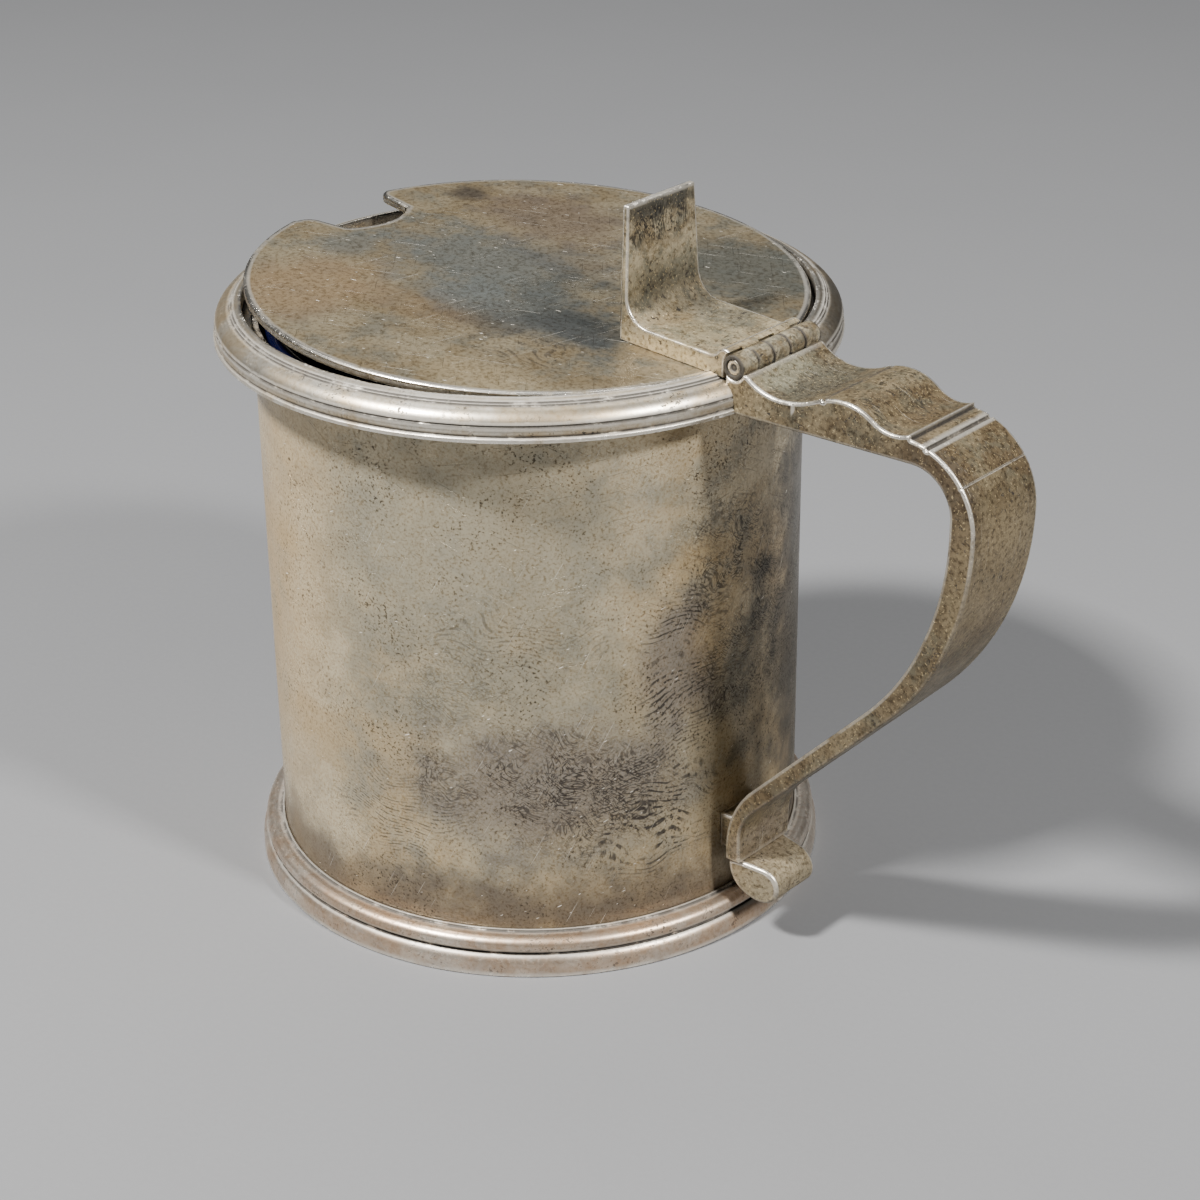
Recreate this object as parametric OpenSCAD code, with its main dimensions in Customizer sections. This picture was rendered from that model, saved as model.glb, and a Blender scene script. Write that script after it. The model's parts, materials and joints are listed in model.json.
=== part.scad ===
// Drum mustard pot: moulded rim and foot, flat hinged lid with a spoon notch,
// upright thumbpiece, cast strap handle and a loose glass liner.
// The drum's axis is Z, the table is z = 0 and the handle points along +X.

/* [Drum] */
// Outer radius of the drum
body_r = 29.8; // [29:0.1:31]
// Thickness of the drum's wall
wall = 0.7; // [0.5:0.1:0.9]
// Height of the drum's lower edge above the table
body_z0 = 2.2; // [2:0.1:2.4]
// Height of the drum's upper edge, the ledge under the lid
ledge_z = 65.1; // [65:0.1:66]
// Thickness of the bottom disc
base_t = 0.8; // [0.6:0.1:1]
// Height of the bottom disc above the drum's lower edge
base_inset = 0.2; // [0:0.1:0.4]

/* [Foot ring] */
// How far the lower moulding stands out from the drum
foot_out = 2.7; // [2.5:0.1:3]
// Height of the straight band at the table
foot_band_h = 1.2; // [1.1:0.1:1.3]
// Radius of the lower moulding's round
foot_round_r = 1.75; // [1.7:0.05:1.8]
// Radius of the upper moulding
foot_torus_r = 1; // [0.95:0.05:1.05]
// How far the upper moulding's centre stands out from the drum
foot_torus_out = 1.25; // [1.2:0.05:1.3]
// Height of the upper moulding's centre
foot_torus_z = 3.4; // [3.35:0.05:3.45]
// Radius of the groove between the two mouldings
foot_groove_r = 0.16; // [0.1:0.02:0.2]
// Width of the fillet on top of the foot
foot_fillet_w = 0.35; // [0.2:0.05:0.5]
// Height of the fillet on top of the foot
foot_fillet_h = 0.25; // [0.1:0.05:0.4]

/* [Rim ring] */
// Depth of the rim below the ledge
rim_drop = 2; // [1.9:0.05:2.1]
// Height of the rim's mouth above the ledge
rim_rise = 1.9; // [1.7:0.1:2.1]
// Width of the ledge between the drum and the mouth
ledge_w = 1; // [0.9:0.1:1.1]
// How far the bottom fillet stands out from the drum
rim_out = 4.2; // [4.1:0.1:4.4]
// Height of the bottom fillet
rim_fillet_h = 0.45; // [0.35:0.05:0.55]
// Radius of the narrow bead
bead_r = 0.65; // [0.6:0.05:0.7]
// How far the bead's face stands out from the drum
bead_out = 4.1; // [4.05:0.05:4.15]
// Radius of the wide convex band
band_r = 1.9; // [1.85:0.05:1.95]
// How far the band's face stands out from the drum
band_out = 4.07; // [4.02:0.01:4.1]
// Height of the band's centre above the rim's lower face
band_z = 1.38; // [1.3:0.02:1.45]
// Width of the sloping lip at the mouth
lip_w = 1.05; // [0.95:0.05:1.1]
// Fall of the sloping lip from the mouth outwards
lip_fall = 0.25; // [0.15:0.05:0.35]
// Width of the small step outside the lip
lip_step_w = 0.25; // [0.2:0.05:0.3]
// Depth of the small step outside the lip
lip_step_h = 0.16; // [0.1:0.02:0.2]
// Radius of the fine groove between the band and the bead
rim_groove_r = 0.12; // [0.08:0.02:0.14]

/* [Lid] */
// Gap all round between the lid and the rim's mouth
lid_gap = 0.4; // [0.3:0.1:0.6]
// Thickness of the lid plate
lid_t = 1; // [0.8:0.1:1.2]
// Height of the shut lid above the ledge
lid_lift = 0.14; // [0.1:0.02:0.24]
// Angle at which the lid stands open
lid_ajar = 3.3; // [0:0.1:20]
// Half width of the spoon notch at its inner end
notch_hw = 4.75; // [4:0.25:5.5]
// Half width of the spoon notch at its shoulders
notch_mouth_hw = 5.25; // [5.2:0.05:6]
// Depth of the spoon notch from the lid's edge
notch_depth = 8.2; // [7:0.2:9]
// Radius of the notch's inner end
notch_end_r = 7.5; // [7:0.1:9]
// Radius of the notch's rounded shoulders
notch_shoulder_r = 2; // [1.5:0.1:2.5]
// Length of the notch's parallel sides at its inner end
notch_side = 2; // [1.5:0.1:2.5]
// Distance of the shoulders' centres inside the lid's edge, less their radius
notch_setback = 1; // [0.8:0.1:1.4]
// Sideways offset of the notch from the hinge's middle
notch_y = 1; // [-1:0.25:1]

/* [Hinge] */
// Distance of the hinge axis outside the drum
hinge_out = 3.3; // [3.2:0.1:3.4]
// Height of the hinge axis above the ledge
hinge_rise = 2.85; // [2.8:0.05:2.9]
// Length of the five knuckles together
hinge_len = 12.8; // [12.4:0.2:13.4]
// Outer radius of each knuckle
knuckle_r = 1.3; // [1.2:0.05:1.35]
// Radius of the hinge pin
pin_r = 0.78; // [0.6:0.02:0.8]
// Running clearance between the pin and the lid's knuckles
pin_clear = 0.04; // [0.02:0.01:0.06]
// Gap beside each of the lid's knuckles
knuckle_gap = 0.05; // [0.04:0.01:0.1]
// Depth of the pin's ends below the end knuckles
pin_recess = 0.12; // [0.05:0.01:0.2]
// Gap between the handle's seat and the lid's knuckles
seat_clear = 0.2; // [0.15:0.05:0.3]
// Gap between the thumbpiece and the handle's knuckles
thumb_clear = 0.25; // [0.2:0.05:0.35]

/* [Thumbpiece] */
// Half width of the thumbpiece at its base
thumb_hw = 5.9; // [5.5:0.1:6]
// Half width of the thumbpiece at its top edge
thumb_top_hw = 5.25; // [4.5:0.05:5.4]
// Height of the upright above the lid
thumb_h = 14.15; // [12:0.25:16]
// Distance of the upright's face from the hinge axis
thumb_reach = 15.1; // [14:0.1:16]
// Thickness of the upright at its foot
thumb_t = 0.85; // [0.75:0.05:1.1]
// Thickness of the upright at its top edge
thumb_top_t = 0.7; // [0.5:0.05:0.75]
// How far the upright leans away from the hinge
thumb_lean = 0.8; // [0:0.1:1.5]
// Thickness of the base on the lid
thumb_base_t = 2.05; // [1.95:0.05:2.1]
// Radius of the hollow between base and upright
thumb_hollow_r = 3; // [2:0.25:4]
// Radius of the rounded ridge at the hinge end
ridge_r = 1.05; // [1:0.05:1.1]
// Distance of the ridge's centre from the hinge axis
ridge_reach = 1.55; // [1.5:0.05:1.6]
// Height of the ridge's centre above the hinge axis
ridge_rise = 0.3; // [0.25:0.05:0.35]
// Radius of the hollow that blends the ridge into the base
ridge_blend_r = 1.2; // [1:0.1:1.4]
// Gap between the base's end and the block under the hinge
thumb_end_gap = 0.3; // [0.3:0.05:0.4]

/* [Handle] */
// Half width of the strap beyond the bend
strap_hw = 5.5; // [5:0.1:5.8]
// Half width of the strap at its lower end
strap_low_hw = 4.4; // [4.2:0.1:4.8]
// Drop from the start of the long curve to where the strap begins to narrow
strap_wide_drop = 12; // [10:0.5:14]
// Height of the block under the thumbpiece above the ledge
block_rise = 0.9; // [0.7:0.05:0.9]
// Distance of the block's step from the hinge axis
block_step = 0.95; // [0.9:0.05:1]
// Distance of the flat behind the knuckles below the hinge axis
land_drop = 0.5; // [0.4:0.05:0.6]
// Distance of the first scoop from the hinge axis
scoop_1_x = 5.7; // [5.6:0.1:5.8]
// Thickness of the strap at the first scoop
scoop_1_t = 2.85; // [2.8:0.05:3]
// Radius of the first scoop on its hinge side
scoop_1_r = 6.2; // [6:0.1:6.4]
// Distance of the hump from the hinge axis
hump_x = 13; // [12.8:0.1:13.2]
// Thickness of the strap at the hump
hump_t = 4.5; // [4.4:0.02:4.6]
// Radius of the hump on its hinge side
hump_in_r = 7.6; // [7.2:0.1:8]
// Radius of the hump on its outer side
hump_out_r = 5.8; // [5.6:0.1:6]
// Distance of the second scoop from the hinge axis
scoop_2_x = 18.9; // [18.8:0.1:19]
// Thickness of the strap at the second scoop
scoop_2_t = 2.56; // [2.5:0.02:2.6]
// Distance of the first reed from the hinge axis
reed_1_x = 10.7; // [10.5:0.1:10.9]
// Distance of the second reed from the hinge axis
reed_2_x = 20.74; // [20.7:0.02:20.8]
// Distance of the third reed from the hinge axis
reed_3_x = 22.7; // [22.5:0.1:23]
// Radius of the reed grooves
reed_r = 0.22; // [0.15:0.01:0.25]
// Distance of the strap's outermost face from the drum
handle_reach = 31.8; // [31:0.1:33]
// Thickness of the strap at its outermost stretch
strap_t = 2.85; // [2.75:0.05:2.95]
// Radius of the bend's outer face
bend_out_r = 8.4; // [8.3:0.05:8.5]
// Radius of the bend's inner face
bend_in_r = 4.6; // [4.4:0.05:4.8]
// Drop from the strap's lower face to where the bend runs into the long curve
sweep_drop = 5.9; // [5.8:0.05:6]
// Radius of the long curve's outer face
sweep_out_r = 32.8; // [31:0.1:34]
// Thickness of the straight stretch below the long curve
strip_t = 2; // [1.8:0.05:2.2]
// Radius of the toe's outer face
toe_out_r = 6; // [5.5:0.1:6.5]
// Height of the centre of the toe's outer face above the joint
toe_out_rise = 2.8; // [2.4:0.1:3.4]
// Height of the centre of the toe's inner face above the joint
toe_in_rise = 1.2; // [0.8:0.1:1.6]
// Distance of the toe's outer face from the drum
toe_out = 3.45; // [3.4:0.05:3.55]
// Distance of the toe's inner face from the drum
toe_in = 1.6; // [1.55:0.05:1.7]
// Height of the joint between the strap and its terminal
toe_z = 9.6; // [9.4:0.1:9.8]

/* [Terminal and lug] */
// Half width of the terminal at the joint
terminal_hw = 4.2; // [4:0.1:4.4]
// Half width of the terminal at its tip
terminal_tip_hw = 3.3; // [3:0.1:3.6]
// Radius of the terminal's outer curl
curl_r = 4; // [3.9:0.05:4]
// Distance of the curl's face outside the strap's inner face
curl_inset = 0.2; // [0.1:0.05:0.3]
// Drop of the curl's centre below the joint
curl_drop = 0.4; // [0.3:0.05:0.5]
// Radius of the terminal's nose
nose_r = 2.1; // [2:0.05:2.2]
// Fall of the terminal's upper face towards its tip
terminal_fall = 0.32; // [0.2:0.02:0.4]
// Height of the lug's lower face above the joint
lug_inset = 0.6; // [0.4:0.1:1]
// Height of the lug
lug_h = 4; // [3:0.25:5]
// Half width of the lug
lug_hw = 3.2; // [2.8:0.1:3.6]

/* [Liner] */
// Gap between the drum and the glass
liner_gap = 0.5; // [0.3:0.1:0.8]
// Thickness of the glass wall
liner_t = 2; // [1.6:0.1:2.4]
// Thickness of the glass bottom
liner_base_t = 3; // [2.6:0.1:3.5]
// Distance of the glass lip below the ledge
liner_drop = 0.6; // [0.4:0.1:2]
// Radius of the glass's bottom edge
liner_edge_r = 3; // [2.5:0.1:3.5]

/* [Hidden] */
$fn = 96;
// Reach of the cutting shapes past what they cut
over = 5;
far = 100;
// Largest turn between neighbouring points of an outline's arc
arc_step = 4;

rim_z0 = ledge_z - rim_drop;
rim_top = ledge_z + rim_rise;
mouth_r = body_r + ledge_w;
lid_r = mouth_r - lid_gap;
lid_z0 = ledge_z + lid_lift;
lid_top = lid_z0 + lid_t;
hinge_x = body_r + hinge_out;
hinge_z = ledge_z + hinge_rise;
hinge_hw = hinge_len / 2;
knuckle_w = hinge_len / 5;
base_z = body_z0 + base_inset;
liner_z0 = base_z + base_t;
liner_r = body_r - wall - liner_gap;
liner_top = ledge_z - liner_drop;

strap_face = body_r + handle_reach;
strap_back = strap_face - strap_t;
sweep_z = rim_z0 - sweep_drop;
toe_face = body_r + toe_out;
toe_back = body_r + toe_in;

// The straight stretch touches the long curve above it and the toe below it
to_toe = [toe_face + toe_out_r, toe_z + toe_out_rise] - [strap_face - sweep_out_r, sweep_z];
strap_slope = atan2(-to_toe[1], to_toe[0]) - acos((sweep_out_r + toe_out_r) / norm(to_toe));
// Unit vector square to the straight stretch, away from the drum
strip_n = [cos(strap_slope), -sin(strap_slope)];
sweep_in_r = sweep_out_r + (strap_t * strip_n[0] - strip_t) / (1 - strip_n[0]);
strip_back = [strap_back - sweep_in_r, sweep_z] * strip_n + sweep_in_r;
toe_in_r = ([toe_back, toe_z + toe_in_rise] * strip_n - strip_back) / (1 - strip_n[0]);

// Sum of two radii whose arcs meet smoothly between a crest and a hollow
// that lie dx apart and differ by dz in height
function smooth_radii(dx, dz) = (dx * dx + dz * dz) / (2 * dz);
// Point at an angle on a circle
function on_arc(c, r, a) = c + r * [cos(a), sin(a)];
// Points along an arc from one angle to another
function arc(c, r, a0, a1) =
  let (n = max(2, ceil(abs(a1 - a0) / arc_step)))
    [for (i = [0:n]) on_arc(c, r, a0 + (a1 - a0) * i / n)];
// Direction from one point to another
function heading(from, to) = atan2(to[1] - from[1], to[0] - from[0]);
// Outer crossing of two circles, the second above the first
function crossing(c1, r1, c2, r2) =
  let (v = c2 - c1, d = norm(v), along = (r1 * r1 - r2 * r2 + d * d) / (2 * d))
    c1 + v * along / d + [v[1], -v[0]] * sqrt(r1 * r1 - along * along) / d;
// Start of a knuckle along the hinge, counted from the near end
function knuckle_y(i) = i * knuckle_w - hinge_hw;

// Flat rectangle between two corners, in the plane of the profile
module patch(x0, x1, z0, z1) {
  translate([x0, z0]) square([x1 - x0, z1 - z0]);
}

module disc(c, r) {
  translate(c) circle(r);
}

// Stands an x-z profile up and gives it a width along y
module across(half_width) {
  rotate([90, 0, 0]) linear_extrude(2 * half_width, center = true) children();
}

// Cylinder about the hinge axis between two places along it
module on_hinge(y0, y1, r) {
  translate([hinge_x, y1, hinge_z]) rotate([90, 0, 0]) cylinder(h = y1 - y0, r = r);
}

module knuckle(i, gap, bore) {
  difference() {
    on_hinge(knuckle_y(i) + gap, knuckle_y(i + 1) - gap, knuckle_r);
    on_hinge(knuckle_y(i) - over, knuckle_y(i + 1) + over, bore);
  }
}

// Turns the lid's pieces about the hinge to where the lid stands
module on_lid() {
  translate([hinge_x, 0, hinge_z])
    rotate([0, lid_ajar, 0])
      translate([-hinge_x, 0, -hinge_z])
        children();
}

module body_wall() {
  color("#a89b86")
    translate([0, 0, body_z0])
      difference() {
        cylinder(h = ledge_z - body_z0, r = body_r);
        translate([0, 0, -over]) cylinder(h = far, r = body_r - wall);
      }
}

module base_plate() {
  color("#9c9080")
    translate([0, 0, base_z]) cylinder(h = base_t, r = body_r - wall);
}

module foot_profile() {
  foot_r = body_r + foot_out;
  round_c = [foot_r - foot_round_r, foot_band_h];
  torus_c = [body_r + foot_torus_out, foot_torus_z];
  torus_top = foot_torus_z + foot_torus_r;
  groove_c = crossing(round_c, foot_round_r, torus_c, foot_torus_r);
  difference() {
    union() {
      patch(body_r, foot_r, 0, foot_band_h);
      intersection() {
        disc(round_c, foot_round_r);
        patch(body_r, foot_r, 0, torus_top);
      }
      intersection() {
        disc(torus_c, foot_torus_r);
        patch(body_r, foot_r, 0, torus_top);
      }
      patch(body_r, torus_c[0], foot_band_h, torus_top);
      patch(body_r, body_r + foot_fillet_w, foot_torus_z, torus_top + foot_fillet_h);
    }
    disc(groove_c, foot_groove_r);
  }
}

module foot_ring() {
  color("#b3a08a") rotate_extrude() foot_profile();
}

module rim_profile() {
  band_c = [body_r + band_out - band_r, rim_z0 + band_z];
  bead_c = [body_r + bead_out - bead_r, rim_z0 + rim_fillet_h + bead_r];
  lip_r = mouth_r + lip_w;
  lip_z = rim_top - lip_fall;
  step_r = lip_r + lip_step_w;
  step_z = lip_z - lip_step_h;
  groove_z = bead_c[1] + bead_r;
  groove_r = band_c[0] + sqrt(pow(band_r, 2) - pow(groove_z - band_c[1], 2));
  difference() {
    union() {
      polygon([
        [body_r, rim_z0], [body_r + rim_out, rim_z0], [body_r + rim_out, rim_z0 + rim_fillet_h],
        bead_c, band_c, [step_r, step_z - lip_step_h], [step_r, step_z], [lip_r, step_z],
        [lip_r, lip_z], [mouth_r, rim_top], [mouth_r, ledge_z], [body_r, ledge_z]
      ]);
      disc(bead_c, bead_r);
      intersection() {
        disc(band_c, band_r);
        patch(band_c[0], far, rim_z0 + rim_fillet_h, rim_top);
      }
    }
    disc([groove_r, groove_z], rim_groove_r);
  }
}

module rim_ring() {
  color("#b7a892")
    difference() {
      rotate_extrude() rim_profile();
      translate([0, -hinge_hw, rim_z0 - over]) cube([far, hinge_len, far]);
    }
}

module liner_profile() {
  floor_z = liner_z0 + liner_base_t;
  bore_r = liner_r - liner_t;
  lip_r = liner_t / 2;
  lip_c = [liner_r - lip_r, liner_top - lip_r];
  edge_c = [liner_r - liner_edge_r, liner_z0 + liner_edge_r];
  inner_edge_r = liner_edge_r - lip_r;
  inner_c = [bore_r - inner_edge_r, floor_z + inner_edge_r];
  difference() {
    union() {
      patch(0, edge_c[0], liner_z0, edge_c[1]);
      disc(edge_c, liner_edge_r);
      patch(0, liner_r, edge_c[1], lip_c[1]);
      disc(lip_c, lip_r);
    }
    patch(-far, 0, liner_z0 - over, far);
    patch(0, inner_c[0], floor_z, far);
    disc(inner_c, inner_edge_r);
    patch(0, bore_r, inner_c[1], far);
  }
}

module glass_liner() {
  color("#1f3f9a", 0.6) rotate_extrude() liner_profile();
}

module notch_shoulder() {
  mouth_x = notch_shoulder_r + notch_setback - lid_r;
  difference() {
    patch(-lid_r - over, mouth_x, notch_hw, notch_mouth_hw + notch_shoulder_r);
    disc([mouth_x, notch_mouth_hw + notch_shoulder_r], notch_shoulder_r);
  }
}

module notch_profile() {
  end_x = notch_depth - lid_r;
  end_c = end_x - notch_end_r;
  mouth_x = notch_shoulder_r + notch_setback - lid_r;
  translate([0, notch_y]) {
    intersection() {
      union() {
        disc([end_c, 0], notch_end_r);
        patch(-lid_r - over, end_c, -notch_end_r, notch_end_r);
      }
      polygon([
        [end_x, notch_hw], [end_x - notch_side, notch_hw], [mouth_x, notch_mouth_hw],
        [-lid_r - over, notch_mouth_hw], [-lid_r - over, -notch_mouth_hw],
        [mouth_x, -notch_mouth_hw], [end_x - notch_side, -notch_hw], [end_x, -notch_hw]
      ]);
    }
    notch_shoulder();
    mirror([0, 1]) notch_shoulder();
  }
}

module lid_plate() {
  color("#a79a86")
    on_lid()
      translate([0, 0, lid_z0])
        linear_extrude(lid_t)
          difference() {
            circle(lid_r);
            notch_profile();
          }
}

module thumb_profile() {
  face_x = hinge_x - thumb_reach;
  top_z = lid_top + thumb_h;
  base_top = lid_top + thumb_base_t;
  back_foot = [face_x + thumb_t, base_top];
  back_top = [face_x - thumb_lean + thumb_top_t, top_z];
  back_a = heading(back_foot, back_top) - 90;
  hollow_x = back_foot[0] + thumb_hollow_r * (1 - sin(back_a)) / cos(back_a);
  hollow_c = [hollow_x, base_top + thumb_hollow_r];
  ridge_c = [hinge_x - ridge_reach, hinge_z + ridge_rise];
  blend_z = base_top + ridge_blend_r;
  blend_x = ridge_c[0] - sqrt(pow(ridge_blend_r + ridge_r, 2) - pow(blend_z - ridge_c[1], 2));
  blend_c = [blend_x, blend_z];
  end_x = hinge_x - block_step - thumb_end_gap;
  ridge_end = -acos((end_x - ridge_c[0]) / ridge_r);
  polygon(concat(
    [[face_x, lid_top], [face_x - thumb_lean, top_z], back_top],
    arc(hollow_c, thumb_hollow_r, 180 + back_a, 270),
    arc(blend_c, ridge_blend_r, -90, heading(blend_c, ridge_c)),
    arc(ridge_c, ridge_r, heading(ridge_c, blend_c), ridge_end),
    [[end_x, lid_top]]
  ));
}

module thumb_outline() {
  polygon([
    [-thumb_hw, lid_z0], [thumb_hw, lid_z0], [thumb_hw, lid_top + thumb_base_t],
    [thumb_top_hw, lid_top + thumb_h], [-thumb_top_hw, lid_top + thumb_h],
    [-thumb_hw, lid_top + thumb_base_t]
  ]);
}

module thumbpiece() {
  corner_x = hinge_x - knuckle_r - thumb_clear;
  color("#8f7f5e")
    on_lid()
      difference() {
        intersection() {
          across(thumb_hw + over) thumb_profile();
          rotate([90, 0, 90]) linear_extrude(far) thumb_outline();
        }
        on_hinge(-far, far, knuckle_r);
        for (i = [0, 2, 4]) {
          on_hinge(knuckle_y(i), knuckle_y(i + 1), knuckle_r + thumb_clear);
          translate([corner_x, knuckle_y(i), lid_z0]) cube([over, knuckle_w, hinge_z - lid_z0]);
        }
      }
}

module lid_knuckle(i) {
  color("#8f7f5e") on_lid() knuckle(i, knuckle_gap, pin_r + pin_clear);
}

module lid_knuckle_near() {
  lid_knuckle(1);
}

module lid_knuckle_far() {
  lid_knuckle(3);
}

module handle_knuckle(i) {
  color("#98855f") knuckle(i, 0, pin_r);
}

module handle_knuckle_near() {
  handle_knuckle(0);
}

module handle_knuckle_mid() {
  handle_knuckle(2);
}

module handle_knuckle_far() {
  handle_knuckle(4);
}

module hinge_pin() {
  color("#6d6558") on_hinge(-hinge_hw + pin_recess, hinge_hw - pin_recess, pin_r);
}

// Points down one face of the strap, from the long curve to the joint with the terminal
function strap_side(face_x, sweep_r, toe_x, toe_r) =
  let (
    sweep_c = [face_x - sweep_r, sweep_z],
    sweep_end = on_arc(sweep_c, sweep_r, -strap_slope),
    run = (sweep_end[0] + toe_r * cos(strap_slope) - toe_x - toe_r) / sin(strap_slope),
    toe_start = sweep_end - run * [sin(strap_slope), cos(strap_slope)],
    toe_c = on_arc(toe_start, toe_r, -strap_slope)
  )
    concat(
      arc(sweep_c, sweep_r, 0, -strap_slope),
      arc(toe_c, toe_r, 180 - strap_slope, 180),
      [[toe_x, toe_z]]
    );
function reversed(points) = [for (i = [len(points) - 1:-1:0]) points[i]];

// Points along the top of the strap, from the second reed back to the hinge's seat
function strap_top() =
  let (
    s1 = [hinge_x + scoop_1_x, rim_z0 + scoop_1_t],
    h = [hinge_x + hump_x, rim_z0 + hump_t],
    s2 = [hinge_x + scoop_2_x, rim_z0 + scoop_2_t],
    sum_1 = smooth_radii(h[0] - s1[0], h[1] - s1[1]),
    sum_2 = smooth_radii(s2[0] - h[0], h[1] - s2[1]),
    r1 = sum_1 - hump_in_r,
    r2 = sum_2 - hump_out_r,
    turn_1 = asin((h[0] - s1[0]) / sum_1),
    turn_2 = asin((s2[0] - h[0]) / sum_2),
    land_z = hinge_z - land_drop,
    land_a = -90 - acos((s1[1] + scoop_1_r - land_z) / scoop_1_r)
  )
    concat(
      arc(s2 + [0, r2], r2, asin((reed_2_x - scoop_2_x) / r2) - 90, -90 - turn_2),
      arc(h - [0, hump_out_r], hump_out_r, 90 - turn_2, 90),
      arc(h - [0, hump_in_r], hump_in_r, 90, 90 + turn_1),
      arc(s1 + [0, r1], r1, turn_1 - 90, -90),
      arc(s1 + [0, scoop_1_r], scoop_1_r, -90, land_a),
      [[hinge_x - block_step, land_z]]
    );

module strap_profile() {
  reed_1 = hinge_x + reed_1_x;
  reed_3 = hinge_x + reed_3_x;
  start_x = hinge_x - block_step;
  hump_c = [hinge_x + hump_x, rim_z0 + hump_t - hump_in_r];
  bend_out_c = [strap_face - bend_out_r, sweep_z];
  bend_in_c = [strap_back - bend_in_r, rim_z0 - bend_in_r];
  bend_start = acos((hinge_x + reed_2_x - bend_out_c[0]) / bend_out_r);
  difference() {
    polygon(concat(
      [[body_r - over, rim_z0]],
      arc(bend_in_c, bend_in_r, 90, 0),
      strap_side(strap_back, sweep_in_r, toe_back, toe_in_r),
      reversed(strap_side(strap_face, sweep_out_r, toe_face, toe_out_r)),
      arc(bend_out_c, bend_out_r, 0, bend_start),
      strap_top(),
      [[start_x, ledge_z + block_rise], [body_r - over, ledge_z + block_rise]]
    ));
    disc([reed_1, hump_c[1] + sqrt(pow(hump_in_r, 2) - pow(reed_1 - hump_c[0], 2))], reed_r);
    disc([reed_3, bend_out_c[1] + sqrt(pow(bend_out_r, 2) - pow(reed_3 - bend_out_c[0], 2))], reed_r);
  }
}

// Outline of the strap from above: it narrows from the hinge to the bend
module strap_plan() {
  wide_x = hinge_x + knuckle_r;
  bend_x = hinge_x + reed_2_x;
  polygon([
    [0, hinge_hw], [wide_x, hinge_hw], [bend_x, strap_hw], [far, strap_hw],
    [far, -strap_hw], [bend_x, -strap_hw], [wide_x, -hinge_hw], [0, -hinge_hw]
  ]);
}

// Outline of the strap from its end: it narrows from the long curve to the toe
module strap_front() {
  wide_z = sweep_z - strap_wide_drop;
  bend_z = rim_z0 - bend_in_r;
  polygon([
    [-strap_low_hw, 0], [-strap_low_hw, toe_z], [-strap_hw, wide_z], [-strap_hw, bend_z],
    [-hinge_len, bend_z], [-hinge_len, far], [hinge_len, far], [hinge_len, bend_z],
    [strap_hw, bend_z], [strap_hw, wide_z], [strap_low_hw, toe_z], [strap_low_hw, 0]
  ]);
}

module handle_strap() {
  color("#9a875f")
    difference() {
      intersection() {
        across(hinge_len) strap_profile();
        linear_extrude(far) strap_plan();
        rotate([90, 0, 90]) linear_extrude(far) strap_front();
      }
      cylinder(h = far, r = body_r);
      translate([0, 0, ledge_z]) cylinder(h = far, r = mouth_r);
      on_hinge(-far, far, knuckle_r);
      for (i = [1, 3])
        on_hinge(knuckle_y(i), knuckle_y(i + 1), knuckle_r + seat_clear);
    }
}

module terminal_profile() {
  curl_c = [toe_back + curl_inset + curl_r, toe_z - curl_drop];
  tip_x = curl_c[0] + nose_r;
  nose_c = [curl_c[0], curl_c[1] - curl_r + nose_r];
  intersection() {
    union() {
      intersection() {
        disc(curl_c, curl_r);
        patch(0, curl_c[0], 0, far);
      }
      disc(nose_c, nose_r);
    }
    polygon([[0, 0], [far, 0], [tip_x, toe_z - terminal_fall], [toe_face, toe_z], [0, toe_z]]);
  }
}

module terminal_plan() {
  tip_x = toe_back + curl_r + nose_r;
  polygon([
    [toe_back, terminal_hw], [tip_x, terminal_tip_hw], [tip_x + over, terminal_tip_hw],
    [tip_x + over, -terminal_tip_hw], [tip_x, -terminal_tip_hw], [toe_back, -terminal_hw]
  ]);
}

module handle_terminal() {
  color("#8e7c58")
    intersection() {
      across(hinge_len) terminal_profile();
      linear_extrude(far) terminal_plan();
    }
}

module handle_lug() {
  lug_z = toe_z + lug_inset;
  color("#8a7a5c")
    difference() {
      across(lug_hw) difference() {
        patch(body_r - over, toe_face, lug_z, lug_z + lug_h);
        strap_profile();
      }
      cylinder(h = far, r = body_r);
    }
}

body_wall();
base_plate();
foot_ring();
rim_ring();
glass_liner();
handle_strap();
handle_terminal();
handle_lug();
handle_knuckle_near();
handle_knuckle_mid();
handle_knuckle_far();
hinge_pin();
lid_plate();
thumbpiece();
lid_knuckle_near();
lid_knuckle_far();
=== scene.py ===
"""Drum mustard pot in tarnished silver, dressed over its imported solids.

Sizes are in millimetres in the classes and in metres in the meshes. The drum's axis is Z,
the table is z = 0 and the handle points along +X.
"""

import json
import logging
import math
from dataclasses import dataclass, replace
from enum import Enum
from typing import Callable, Sequence

import bmesh
import bpy
import numpy as np
from mathutils import Color, Matrix, Vector
from mathutils.geometry import delaunay_2d_cdt

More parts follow.
